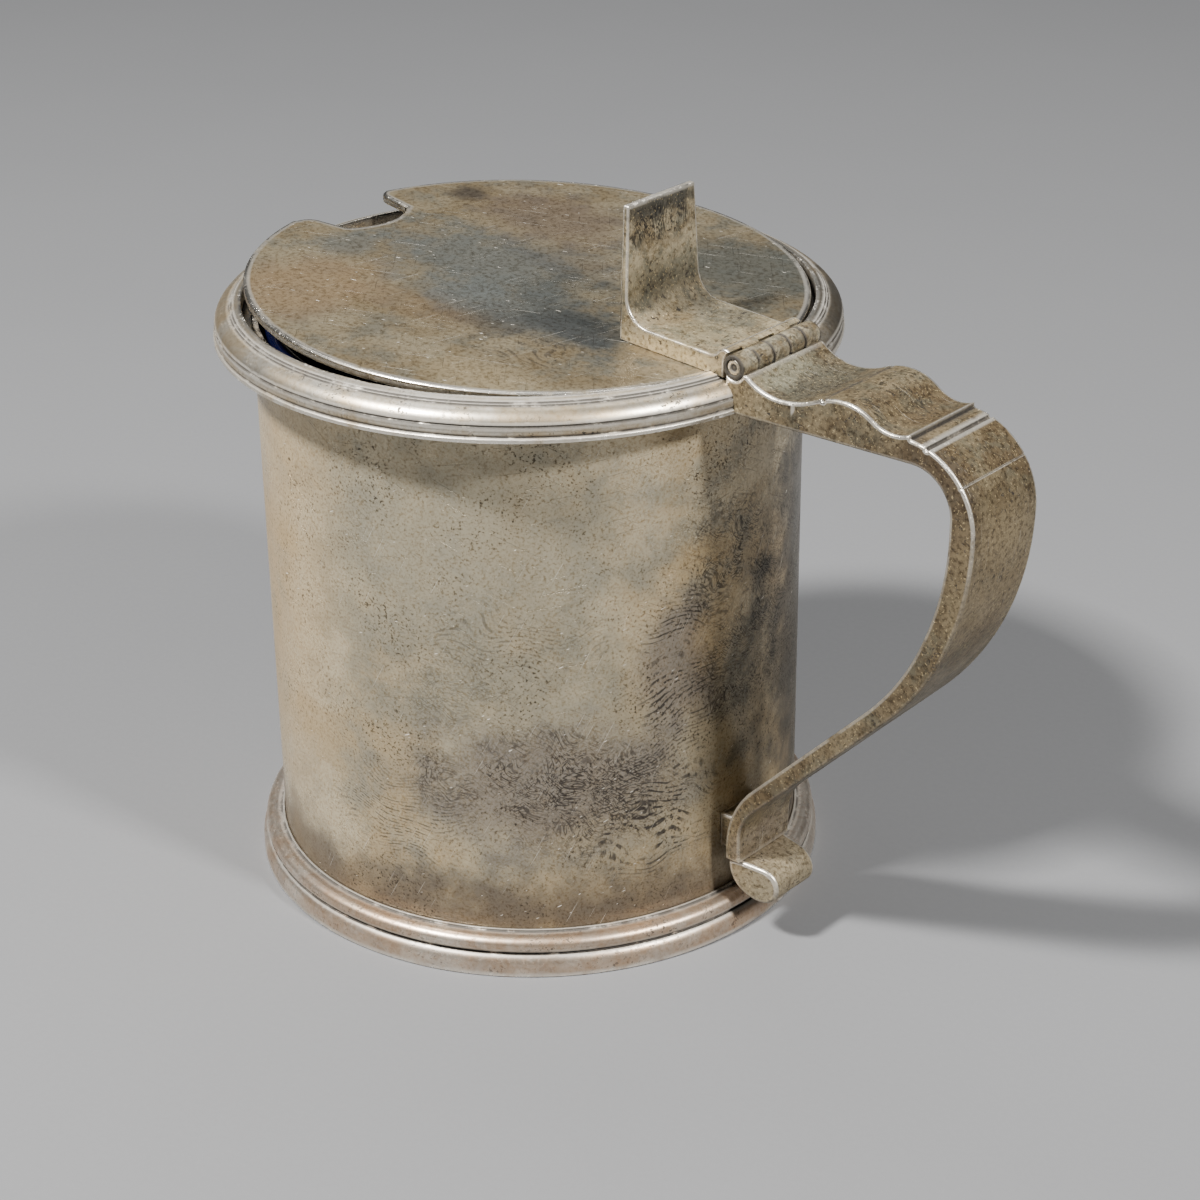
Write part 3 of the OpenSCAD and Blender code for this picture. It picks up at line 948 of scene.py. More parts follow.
def close_ends(mesh: Mesh) -> None:
    """Close the open ends of a mesh with flat faces.

    Args:
        mesh: Mesh that is changed.
    """
    shell = bmesh.new()
    shell.from_mesh(mesh)
    rims = [edge for edge in shell.edges if edge.is_boundary]
    bmesh.ops.holes_fill(shell, edges=rims, sides=0)
    bmesh.ops.recalc_face_normals(shell, faces=shell.faces)
    shell.to_mesh(mesh)
    shell.free()


def show(
    name: str,
    mesh: Mesh,
    material: Material,
    body: Body,
    nodes: Sequence[str],
) -> bpy.types.Object:
    """Put a finished mesh in the scene in place of its solids.

    Args:
        name: Name of the piece.
        mesh: Its mesh, in place.
        material: Its finish.
        body: Body that it moves with.
        nodes: Solids that it stands for.

    Returns:
        The piece.
    """
    mesh.materials.clear()
    mesh.materials.append(material)
    piece = bpy.data.objects.new(name, mesh)
    bpy.context.scene.collection.objects.link(piece)
    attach(piece, body.value)
    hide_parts(*nodes)
    LOG.info("%s on %s: %d points, stands for %s", name, body.value, len(mesh.vertices), ", ".join(nodes))
    return piece


# Finishes

WORN = tone(242, 236, 224)
DIRT = tone(34, 30, 26)
SMUDGE = tone(62, 57, 53)
BROWN = tone(128, 106, 78)
SLATE = tone(103, 107, 104)
GREY = tone(142, 138, 122)
PLUM = tone(118, 110, 106)
GLINT = tone(204, 184, 138)

NOISE_MIDDLE = 0.5
SPOT_REACH = 1.25
SPOT_FRAY = 1.3
SPOT_LEVELS = (0.05, 0.85)


class Canvas(Nodes):
    """The nodes of one material, in millimetres of Object coordinates."""

    def __init__(self, name: str) -> None:
        """Start an empty material.

        Args:
            name: Name of the material.
        """
        self.material = bpy.data.materials.new(name)
        self.material.use_nodes = True
        self.tree = self.material.node_tree
        self.tree.nodes.clear()
        sockets = {"Vector": self.node("ShaderNodeTexCoord", out="Object"), "Scale": (1 / MM,) * 3}
        self.place = self.node("ShaderNodeMapping", {"vector_type": "POINT"}, sockets)

    def attribute(self, name: str) -> Value:
        """Read a value that the mesh carries."""
        return self.node("ShaderNodeAttribute", {"attribute_name": name}, out="Fac")

    def noise(
        self,
        size: float,
        detail: float,
        rough: float,
        place: Value | None = None,
        warp: float = 0.0,
    ) -> Value:
        """Add noise from 0 to 1 with features of a size in millimetres, stirred where it is warped."""
        sockets = {
            "Vector": place or self.place,
            "Scale": 1 / size,
            "Detail": detail,
            "Roughness": rough,
            "Distortion": warp,
        }
        return self.node("ShaderNodeTexNoise", None, sockets)

    def ease(self, value: Value, low: float, high: float) -> Value:
        """Ease a value from 0 at one level to 1 at another."""
        sockets = {"Value": value, "From Min": low, "From Max": high}
        return self.node("ShaderNodeMapRange", {"interpolation_type": "SMOOTHSTEP"}, sockets)

    def mix(self, share: "Value | float", first: object, second: object, blend: str = "MIX") -> Value:
        """Mix a share of a second colour into a first one."""
        settings = {"data_type": "RGBA", "blend_type": blend, "clamp_factor": True}
        return self.node("ShaderNodeMix", settings, {0: share, 6: first, 7: second}, out=2)

    def mapped(
        self,
        middle: Sequence[float],
        size: Sequence[float],
        turn: Sequence[float] = (0, 0, 0),
        of: Value | None = None,
    ) -> Value:
        """Give coordinates a new origin, a turn in degrees about each axis and new units."""
        sockets = {
            "Vector": of or self.place,
            "Location": tuple(middle),
            "Rotation": tuple(math.radians(angle) for angle in turn),
            "Scale": tuple(size),
        }
        return self.node("ShaderNodeMapping", {"vector_type": "TEXTURE"}, sockets)

    def spot(self, middle: Sequence[float], size: Sequence[float], ragged: Value) -> Value:
        """Mark a patch, its edge frayed by noise: 0 outside and 1 inside."""
        away = self.vector_math("LENGTH", {0: self.mapped(middle, size)}, "Value")
        return self.ease(SPOT_REACH - away + (ragged - NOISE_MIDDLE) * SPOT_FRAY, *SPOT_LEVELS)

    def stirred(self, place: Value, size: float, reach: float) -> Value:
        """Bend coordinates by soft noise.

        Args:
            place: Coordinates to bend.
            size: Size of the bends.
            reach: How far a place can move.

        Returns:
            The bent coordinates.
        """
        sockets = {"Vector": place, "Scale": 1 / size, "Detail": 1.0}
        stir = self.node("ShaderNodeTexNoise", None, sockets, "Color")
        centred = self.vector_math("SUBTRACT", {0: stir, 1: (NOISE_MIDDLE,) * 3})
        shift = self.vector_math("SCALE", {0: centred, "Scale": reach})
        return self.vector_math("ADD", {0: place, 1: shift})

    def unrolled(self, radius: float) -> Value:
        """Lay the drum's surface flat, cut opposite the handle.

        Args:
            radius: Radius of the drum.

        Returns:
            Length round the drum and height.
        """
        x, y, up = self.split(self.place)
        around = self.math("ARCTAN2", 0 - y, 0 - x) * radius
        return self.node("ShaderNodeCombineXYZ", None, {"X": around, "Y": up})

    def bump(self, height: Value, depth: float, strength: float, **bent: Value) -> Value:
        """Raise the surface by up to a depth in millimetres, on top of the Normal where one is given."""
        sockets = {"Height": height, "Strength": strength, "Distance": depth * MM, **bent}
        return self.node("ShaderNodeBump", None, sockets)

    def close(self, sockets: Sockets) -> Material:
        """Add the shader and link it to the material's output.

        Args:
            sockets: What the shader's sockets get.

        Returns:
            The finished material.
        """
        shader = self.node("ShaderNodeBsdfPrincipled", None, sockets)
        end = self.tree.nodes.new("ShaderNodeOutputMaterial")
        self.tree.links.new(shader.socket, end.inputs["Surface"])
        return self.material


@dataclass(frozen=True)
class Patches:
    """Soft noise, and the levels between which it fades in.

    Attributes:
        size: Size of its features.
        detail: Number of finer layers.
        rough: Strength of the finer layers.
        low: Level at which it starts to show.
        high: Level at which it covers.
    """

    size: float
    detail: float
    rough: float
    low: float
    high: float

    def noise(
        self, canvas: Canvas, unit: float = 1.0, place: Value | None = None, warp: float = 0.0
    ) -> Value:
        """Add the noise, its size in a unit of millimetres."""
        return canvas.noise(self.size * unit, self.detail, self.rough, place, warp)

    def fade(self, canvas: Canvas, noise: Value) -> Value:
        """Fade the noise in."""
        return canvas.ease(noise, self.low, self.high)

    def cover(self, canvas: Canvas, unit: float = 1.0, place: Value | None = None) -> Value:
        """Add the noise and fade it in."""
        return self.fade(canvas, self.noise(canvas, unit, place))


# Noise of the silver finishes. The sizes of the first four are shares of a finish's own sizes.
BROAD = Patches(1.0, 4.0, 0.6, 0.38, 0.62)
RAGGED = Patches(0.35, 5.0, 0.62, 0.46, 0.66)
FINE = Patches(1.0, 4.0, 0.7, 0.42, 0.7)
PITTED = Patches(0.5, 3.0, 0.6, 0.4, 0.65)
RUBBED = Patches(3.2, 5.0, 0.68, 0.28, 0.52)
GRIMY = Patches(2.6, 5.0, 0.7, 0.22, 0.5)
BROAD_WARP = 0.6
PIT_NOISE = (2.0, 0.6)
PIT_EDGE = 0.05
DENT_NOISE = (14.0, 1.0, 0.4)
DENT_DEPTH = 0.6

# Finger ridges. The bands of a wave repeat at every pi / 10 of its units.
RIDGE_STIR = (12.0, 15.0)
RIDGE_WAVE = {"Distortion": 1.6, "Detail": 2.0, "Detail Scale": 1.5}
RIDGE_UNITS = 10
RIDGE_GAP = 0.62
RIDGE_LEVELS = (0.5, 0.8)
RIDGE_BREAKS = Patches(0.6, 2.0, 0.6, 0.44, 0.54)
RIDGE_PATCHES = Patches(4.0, 3.0, 0.6, 0.36, 0.56)

# Short strokes, in two sets: the noise, and where it lies, how it stretches and how it turns.
STROKE_STIR = (5.0, 5.0)
STROKE_SETS = (
    (Patches(1.0, 2.0, 0.6, 0.5, 0.6), (0, 0, 0), (0.9, 0.18, 0.9), (0, 0, -40)),
    (Patches(1.0, 2.0, 0.6, 0.53, 0.62), (3, 5, 0), (0.7, 0.17, 0.7), (0, 0, 34)),
)
STROKE_PATCHES = Patches(5.0, 4.0, 0.65, 0.3, 0.6)

# Scratches: the level above which few or many show.
LINE_NOISE = (1.0, 1.0, 0.5)
LINE_TOP = 0.8
LINE_RANGE = 0.22
LINE_EDGE = 0.04

# How far wear and dirt cover the colour, change the relief, hide the metal and change the roughness.
RUB_COVER, GRIME_COVER = 0.85, 0.92
FINE_RELIEF, PIT_RELIEF, LINE_RELIEF, RELIEF_DEPTH = 0.4, 1.2, 0.8, 0.03
GRIME_HIDES, PIT_HIDES = 0.75, 0.6
PIT_ROUGH, GRIME_ROUGH, RUB_SMOOTH = 0.2, 0.35, 0.1
DULL_LEVELS = (0.3, 0.7)
BROAD_DULL, STAIN_DULL = 0.08, 0.1


@dataclass(frozen=True)
class StainOrPaintedLight:
    """A patch of colour: mostly tarnish, and a few commented ones partly painted light and shade.

    Attributes:
        middle: Centre in millimetres.
        size: Half sizes in millimetres.
        colour: Colour of the patch.
        share: How strongly it covers.
        kind: What the patch is made of.
    """

    middle: tuple[float, float, float]
    size: tuple[float, float, float]
    colour: Colour
    share: float
    kind: Mark = Mark.PLAIN


@dataclass(frozen=True)
class Scratches:
    """Fine lines that run one way.

    Attributes:
        turn: Turn of the lines in degrees about each axis.
        length: Length of the lines in millimetres.
        width: Width of the lines in millimetres.
        amount: From 0 to 1, how many there are.
        share: How strongly they show.
        colour: Colour of the lines.
    """

    turn: tuple[float, float, float]
    length: float
    width: float
    amount: float
    share: float
    colour: Colour

    @property
    def level(self) -> float:
        """Level of the noise above which a line shows."""
        return LINE_TOP - LINE_RANGE * self.amount


@dataclass(frozen=True)
class Silver:
    """A tarnished silver finish.

    Attributes:
        name: Name of the material.
        light: Colour of the cleaner metal.
        warm: Colour of the warm tarnish.
        cool: Colour of the cool tarnish.
        worn: Colour of the rubbed edges.
        mottle: Size of the tarnish patches.
        cool_share: How much of the cool tarnish shows.
        speckle: Strength of the fine speckle.
        metal: Share of bare metal, the rest being dull tarnish.
        roughness: Roughness of the surface.
        pits: Amount of dark pits.
        pit_size: Size of the pits.
        pit_level: Level of the noise above which a pit shows.
        shade: How much of the light the tarnish gives back.
        speckle_size: Size of the fine speckle.
        gloss: Strength of the tarnish's own gloss.
        grain: Depth of the fine grain.
        dents: Depth of the shallow dents.
        stains_and_painted_light: Patches of tarnish, a few of them partly painted light and shade.
        scratches: Sets of fine lines.
        rolled: Radius of the drum, where scratches follow its surface.
    """

    name: str
    light: Colour
    warm: Colour
    cool: Colour
    mottle: float
    cool_share: float
    metal: float
    roughness: float
    pits: float
    pit_size: float
    grain: float
    dents: float
    worn: Colour = WORN
    stains_and_painted_light: tuple[StainOrPaintedLight, ...] = ()
    scratches: tuple[Scratches, ...] = ()
    rolled: float = 0.0
    speckle: float = 0.5
    pit_level: float = 0.63
    shade: float = 0.68
    speckle_size: float = 0.5
    gloss: float = 0.5

    def material(self) -> Material:
        """Build the material.

        Returns:
            The finished material.
        """
        canvas = Canvas(self.name)
        surface = canvas.unrolled(self.rolled) if self.rolled else canvas.place
        ragged = RAGGED.noise(canvas, self.mottle)
        broad = BROAD.noise(canvas, self.mottle, warp=BROAD_WARP)
        fine = FINE.noise(canvas, self.speckle_size)
        colour = canvas.mix(BROAD.fade(canvas, broad), self.light, self.warm)
        colour = canvas.mix(RAGGED.fade(canvas, ragged) * self.cool_share, colour, self.cool)
        dull = canvas.ease(broad, *DULL_LEVELS) * BROAD_DULL
        pattern = self._patterns(canvas, surface)
        for stain_or_light in self.stains_and_painted_light:
            mark = canvas.spot(stain_or_light.middle, stain_or_light.size, ragged) * stain_or_light.share
            if stain_or_light.kind in pattern:
                mark = mark * pattern[stain_or_light.kind]
            colour = canvas.mix(mark, colour, stain_or_light.colour)
            dull = dull + mark * STAIN_DULL
        colour = canvas.mix(FINE.fade(canvas, fine) * self.speckle, colour, self.warm, "MULTIPLY")
        colour = canvas.mix(1.0, colour, (self.shade,) * 3 + (1.0,), "MULTIPLY")
        pits = self._pits(canvas)
        colour = canvas.mix(pits, colour, DIRT)
        relief = fine * FINE_RELIEF - pits * PIT_RELIEF
        lines = None
        for cut in self.scratches:
            line = self._lines(canvas, surface, cut)
            colour = canvas.mix(line * cut.share, colour, cut.colour)
            lines = line if lines is None else lines.over(line)
        if lines is not None:
            relief = relief - lines * LINE_RELIEF
        rub = canvas.attribute(WEAR) * RUBBED.cover(canvas)
        grime = canvas.attribute(GRIME) * GRIMY.cover(canvas)
        colour = canvas.mix(rub * RUB_COVER, colour, self.worn)
        colour = canvas.mix(grime * GRIME_COVER, colour, DIRT)
        dents = canvas.bump(canvas.noise(*DENT_NOISE), DENT_DEPTH, self.dents)
        hidden = (grime * GRIME_HIDES).over(pits * PIT_HIDES)
        rough = self.roughness + dull + pits * PIT_ROUGH + grime * GRIME_ROUGH - rub * RUB_SMOOTH
        return canvas.close(
            {
                "Base Color": colour,
                "Metallic": self.metal - hidden * self.metal + rub * (1 - self.metal),
                "Roughness": rough,
                "Specular IOR Level": self.gloss,
                "Normal": canvas.bump(relief, RELIEF_DEPTH, self.grain, Normal=dents),
            }
        )

    def _pits(self, canvas: Canvas) -> Value:
        """Scatter dark pits where the tarnish is thick.

        Args:
            canvas: Nodes of the material.

        Returns:
            How far the pits cover the surface.
        """
        cells = canvas.noise(self.pit_size, *PIT_NOISE)
        pits = canvas.ease(cells, self.pit_level, self.pit_level + PIT_EDGE)
        return pits * PITTED.cover(canvas, self.mottle) * self.pits

    def _patterns(self, canvas: Canvas, surface: Value) -> dict[Mark, Value]:
        """Make the patterns that the patches use.

        Args:
            canvas: Nodes of the material.
            surface: Coordinates along the surface.

        Returns:
            The pattern of each kind of patch that isn't plain.
        """
        pattern = {}
        makers = ((Mark.RIDGES, self._ridges, RIDGE_STIR), (Mark.STROKES, self._strokes, STROKE_STIR))
        for kind, make, stir in makers:
            if any(stain_or_light.kind is kind for stain_or_light in self.stains_and_painted_light):
                pattern[kind] = make(canvas, canvas.stirred(surface, *stir))
        return pattern

    def _ridges(self, canvas: Canvas, surface: Value) -> Value:
        """Make the curved, broken ridges that fingers leave.

        Args:
            canvas: Nodes of the material.
            surface: Coordinates along the surface.

        Returns:
            From 0 between the ridges to 1 on them.
        """
        settings = {"wave_type": "BANDS", "bands_direction": "Y"}
        sockets = {"Vector": surface, "Scale": math.pi / (RIDGE_UNITS * RIDGE_GAP), **RIDGE_WAVE}
        bands = canvas.ease(canvas.node("ShaderNodeTexWave", settings, sockets, "Fac"), *RIDGE_LEVELS)
        return bands * RIDGE_BREAKS.cover(canvas, place=surface) * RIDGE_PATCHES.cover(canvas, place=surface)

    def _strokes(self, canvas: Canvas, surface: Value) -> Value:
        """Make the short dark strokes of a rubbed smudge."""
        first, second = (
            patches.cover(canvas, place=canvas.mapped(middle, size, turn, surface))
            for patches, middle, size, turn in STROKE_SETS
        )
        return first.over(second) * STROKE_PATCHES.cover(canvas, place=surface)

    def _lines(self, canvas: Canvas, surface: Value, cut: Scratches) -> Value:
        """Make one set of scratches."""
        stretched = canvas.mapped((0, 0, 0), (cut.length, cut.width, cut.length), cut.turn, surface)
        return canvas.ease(canvas.noise(*LINE_NOISE, stretched), cut.level, cut.level + LINE_EDGE)


@dataclass(frozen=True)
class Glass:
    """The blue glass of the liner, with its swirls and its small bubbles."""

    name: str = "liner_glass"
    colour: Colour = tone(14, 22, 74)
    streak: Colour = tone(22, 34, 96)
    swirls: Patches = Patches(18.0, 2.0, 0.5, 0.35, 0.65)
    swirl_warp: float = 0.8
    swirl_depth: float = 0.2
    swirl_bump: float = 0.25
    bubbles: Patches = Patches(1.4, 2.0, 0.5, 0.55, 0.8)
    bubble_rough: float = 0.06
    roughness: float = 0.04
    bending: float = 1.5
    clearness: float = 0.85

    def material(self) -> Material:
        """Build the material.

        Returns:
            The finished material.
        """
        canvas = Canvas(self.name)
        swirl = self.swirls.noise(canvas, warp=self.swirl_warp)
        return canvas.close(
            {
                "Base Color": canvas.mix(self.swirls.fade(canvas, swirl), self.colour, self.streak),
                "Roughness": self.roughness + self.bubbles.cover(canvas) * self.bubble_rough,
                "IOR": self.bending,
                "Transmission Weight": self.clearness,
                "Normal": canvas.bump(swirl, self.swirl_depth, self.swirl_bump),
            }
        )


@dataclass(frozen=True)
class Board:
    """The pale floor, a little cloudy and with a fine nap."""

    name: str = "pale_floor"
    colour: Colour = tone(110, 111, 113)
    shade: Colour = tone(103, 104, 106)
    clouds: tuple[float, float, float] = (60.0, 4.0, 0.6)
    cloud_share: float = 0.5
    nap: tuple[float, float, float] = (0.8, 2.0, 0.6)
    nap_share: float = 0.3
    nap_depth: float = 0.05
    nap_bump: float = 0.3
    nap_rough: float = 0.15
    roughness: float = 0.75

    def material(self) -> Material:
        """Build the material.

        Returns:
            The finished material.
        """
        canvas = Canvas(self.name)
        nap = canvas.noise(*self.nap)
        share = canvas.noise(*self.clouds) * self.cloud_share + nap * self.nap_share
        return canvas.close(
            {
                "Base Color": canvas.mix(share, self.colour, self.shade),
                "Roughness": self.roughness + nap * self.nap_rough,
                "Normal": canvas.bump(nap, self.nap_depth, self.nap_bump),
            }
        )


def on_drum(degrees: float, height: float) -> tuple[float, float, float]:
    """Return a place on the drum, from the turn away from the handle and the height."""
    return (*on_arc((0.0, 0.0), DRUM_R, degrees), height)


DRUM_FINISH = Silver(
    name="drum_silver_finish",
    light=tone(204, 190, 160), warm=tone(190, 170, 134), cool=tone(178, 172, 154),
    mottle=16.0, cool_share=0.7, metal=0.5, roughness=0.22, shade=0.9, pits=0.85, pit_size=0.3,
    pit_level=0.6, grain=0.75, dents=0.25, rolled=DRUM_R, speckle=0.7, speckle_size=0.3, gloss=0.25,
    stains_and_painted_light=(
        StainOrPaintedLight(on_drum(-60, 47), (22, 22, 22), GREY, 0.68),
        StainOrPaintedLight(on_drum(-42, 24), (30, 30, 20), GREY, 0.6),
        # Darker band round the drum just above the foot: partly tarnish, partly painted shade.
        StainOrPaintedLight((0, 0, 5.0), (70, 70, 8), tone(94, 84, 74), 0.85),
        StainOrPaintedLight(on_drum(-46, 22), (18, 18, 9), PLUM, 0.6),
        StainOrPaintedLight(on_drum(-47, 23.5), (16, 16, 6.5), SMUDGE, 0.95, Mark.STROKES),
        StainOrPaintedLight(on_drum(-34, 18), (12, 12, 5.5), SMUDGE, 0.9, Mark.STROKES),
        StainOrPaintedLight(on_drum(-64, 33), (9, 9, 8), SMUDGE, 0.45, Mark.STROKES),
        StainOrPaintedLight(on_drum(-52, 39), (13, 13, 6), SMUDGE, 0.45, Mark.RIDGES),
        StainOrPaintedLight(on_drum(-18, 34), (6, 6, 9), PLUM, 0.6),
        StainOrPaintedLight(on_drum(-18, 33), (7, 7, 11), SMUDGE, 0.95, Mark.RIDGES),
        StainOrPaintedLight(on_drum(-24, 17), (10, 10, 9), SMUDGE, 0.95, Mark.RIDGES),
        StainOrPaintedLight(on_drum(-78, 16), (10, 10, 7), SMUDGE, 0.7, Mark.RIDGES),
        StainOrPaintedLight(on_drum(-2, 47), (8, 8, 9), SMUDGE, 0.8, Mark.STROKES),
        StainOrPaintedLight(on_drum(0, 34), (8, 8, 12), SMUDGE, 0.9, Mark.STROKES),
        # Dark patch beside the handle, towards the drum's far right: partly tarnish, partly painted shade and
        # painted dark reflection.
        StainOrPaintedLight(on_drum(32, 34), (14, 18, 40), tone(56, 52, 47), 0.86),
        StainOrPaintedLight(on_drum(-118, 42), (14, 14, 34), tone(214, 182, 128), 0.4),
        StainOrPaintedLight(on_drum(28, 40), (10, 14, 26), DIRT, 0.7, Mark.STROKES),
    ),
    scratches=(
        Scratches((0, 0, 8), 9.0, 0.1, 0.4, 0.5, DIRT),
        Scratches((0, 0, 62), 7.0, 0.1, 0.35, 0.4, WORN),
        Scratches((0, 0, -28), 8.0, 0.1, 0.45, 0.5, DIRT),
        Scratches((0, 0, 20), 1.2, 0.25, 0.22, 0.8, WORN),
    ),
)
RIM_FINISH = Silver(
    name="rim_silver_finish",
    light=tone(238, 230, 214), warm=tone(206, 188, 158), cool=tone(190, 186, 174),
    mottle=9.0, cool_share=0.4, metal=0.94, roughness=0.33, pits=0.9, pit_size=0.35, grain=0.15,
    dents=0.15, pit_level=0.57, shade=0.82,
    # Darker patch on the rim beyond the handle, at its far right: painted dark reflection.
    stains_and_painted_light=(StainOrPaintedLight((27, 22, 65), (16, 14, 8), tone(96, 92, 84), 0.9),),
)
FOOT_FINISH = replace(
    RIM_FINISH,
    name="foot_silver_finish",
    light=tone(238, 226, 210), warm=tone(206, 180, 154), cool=tone(192, 182, 172),
    mottle=10.0, pits=0.8, pit_size=0.4,
    stains_and_painted_light=(),
)
LID_FINISH = Silver(
    name="lid_silver_finish",
    light=tone(166, 154, 128), warm=tone(142, 127, 99), cool=tone(126, 124, 112),
    mottle=11.0, cool_share=0.7, metal=0.6, roughness=0.3, pits=0.7, pit_size=0.4, grain=0.7,
    dents=0.3, speckle=0.7,
    stains_and_painted_light=(
        StainOrPaintedLight((-6, 0, 68), (18, 9, 6), SLATE, 0.85),
        StainOrPaintedLight((8, -7, 68), (15, 7, 6), SLATE, 0.9),
        StainOrPaintedLight((13, -7, 68), (9, 5, 6), tone(64, 67, 66), 0.9),
        StainOrPaintedLight((4, -12, 68), (9, 3, 6), tone(74, 72, 68), 0.6),
        StainOrPaintedLight((-20, -7, 69), (5, 5, 6), SLATE, 0.7),
        StainOrPaintedLight((-15, -19, 68), (9, 11, 6), tone(154, 130, 98), 0.7),
        StainOrPaintedLight((-3, -14, 68), (9, 4, 6), BROWN, 0.5),
        StainOrPaintedLight((-3, -9.5, 68), (9, 3.5, 6), SLATE, 0.6),
        StainOrPaintedLight((0, 7, 68), (10, 5, 6), tone(90, 89, 86), 0.5),
        StainOrPaintedLight((-10, 15, 69), (12, 8, 6), tone(114, 98, 84), 0.7),
        StainOrPaintedLight((-22, 14, 69), (3, 3, 6), SMUDGE, 0.8),
        StainOrPaintedLight((14, -14, 67), (8, 7, 6), SMUDGE, 0.6, Mark.RIDGES),
        StainOrPaintedLight((3, -10, 67), (9, 7, 6), SMUDGE, 0.5, Mark.STROKES),
        StainOrPaintedLight((14, 18, 67), (14, 11, 6), tone(88, 91, 86), 0.85),
        StainOrPaintedLight((15, -23, 66), (10, 5, 6), tone(190, 174, 138), 0.45),
    ),
    scratches=(
        Scratches((0, 0, 25), 10.0, 0.12, 0.35, 0.4, WORN),
        Scratches((0, 0, -50), 7.0, 0.1, 0.35, 0.5, DIRT),
        Scratches((0, 0, 80), 8.0, 0.1, 0.3, 0.35, WORN),
        Scratches((0, 0, 20), 1.2, 0.25, 0.2, 0.8, WORN),
    ),
)
HANDLE_FINISH = Silver(
    name="handle_silver_finish",
    light=tone(150, 135, 106), warm=tone(112, 96, 71), cool=tone(112, 109, 92),
    mottle=6.0, cool_share=0.6, metal=0.5, roughness=0.36, pits=0.9, pit_size=0.35, pit_level=0.6,
    grain=1.0, dents=0.2, speckle=0.85,
    stains_and_painted_light=(
        StainOrPaintedLight((39, 0, 66), (5, 8, 3), tone(106, 106, 93), 0.6),
        StainOrPaintedLight((39, 0, 66), (6, 8, 3), DIRT, 0.55, Mark.STROKES),
        StainOrPaintedLight((47, 0, 67), (5, 8, 3), DIRT, 0.75, Mark.RIDGES),
        StainOrPaintedLight((57, -6, 60), (8, 3, 9), tone(88, 72, 56), 0.6),
        StainOrPaintedLight((61, 0, 50), (4, 8, 9), tone(156, 138, 104), 0.6),
        StainOrPaintedLight((36, 0, 7.5), (6, 7, 4), tone(196, 182, 152), 0.6),
        StainOrPaintedLight((33.5, 0, 11.5), (2.5, 7, 3), tone(164, 150, 132), 0.5),
        StainOrPaintedLight((35.5, -2, 67), (2.5, 6, 2), tone(176, 172, 146), 0.5),
        StainOrPaintedLight((34.5, -6.4, 65), (4, 1.5, 3), tone(186, 168, 132), 0.55),
        StainOrPaintedLight((60, -1, 57), (4, 6, 4), tone(176, 156, 118), 0.45),
    ),
    scratches=(
        Scratches((0, 35, 0), 5.0, 0.1, 0.3, 0.3, WORN),
        Scratches((0, 0, 60), 4.0, 0.1, 0.35, 0.5, DIRT),
        Scratches((0, 25, 20), 0.3, 0.16, 0.65, 0.35, GLINT),
    ),
)
THUMB_FINISH = Silver(
    name="thumb_silver_finish",
    light=tone(200, 186, 154), warm=tone(150, 134, 104), cool=tone(124, 123, 108),
    mottle=5.0, cool_share=0.7, metal=0.45, roughness=0.34, pits=0.95, pit_size=0.5, pit_level=0.58,
    grain=0.9, dents=0.2, speckle=0.8,
    stains_and_painted_light=(
        StainOrPaintedLight((19, 0, 73), (4, 9, 3), tone(104, 106, 92), 0.4),
        StainOrPaintedLight((26, 0, 69), (4, 9, 3), tone(140, 134, 106), 0.4),
        StainOrPaintedLight((17.8, 0, 80.4), (5, 9, 1.8), tone(78, 77, 70), 0.9),
        # Bright gold patch on the base's near flank, where the key lamp falls: partly gold tarnish, partly
        # painted light.
        StainOrPaintedLight((24, -6.4, 67), (10, 1.2, 2), tone(250, 226, 176), 0.8),
        StainOrPaintedLight((17.8, 0, 78.5), (5, 9, 2.5), DIRT, 0.95, Mark.STROKES),
        StainOrPaintedLight((19, 0, 71.5), (3, 9, 2.2), tone(84, 80, 68), 0.55),
        StainOrPaintedLight((24, 3, 69), (6, 4, 2.5), tone(100, 97, 86), 0.65),
    ),
    scratches=(Scratches((0, 20, 30), 0.3, 0.16, 0.65, 0.4, GLINT),),
)
HINGE_FINISH = Silver(
    name="hinge_silver_finish",
    light=tone(198, 188, 162), warm=tone(134, 118, 90), cool=tone(124, 122, 108),
    mottle=2.4, cool_share=0.7, metal=0.5, roughness=0.34, pits=0.95, pit_size=0.35, pit_level=0.56,
    grain=0.9, dents=0.1, speckle=0.85,
    scratches=(Scratches((0, 0, 80), 0.3, 0.16, 0.65, 0.4, GLINT),),
)
PIN_FINISH = Silver(
    name="pin_metal_finish",
    light=tone(120, 112, 98), warm=tone(84, 76, 64), cool=tone(96, 94, 90),
    worn=tone(190, 182, 166),
    mottle=1.2, cool_share=0.4, metal=0.7, roughness=0.4, pits=0.6, pit_size=0.25, grain=0.6,
    dents=0.1,
)


# Sub-assemblies

KNUCKLES = 5
LENGTHWISE = Matrix.Rotation(math.pi / 2, 4, "X")


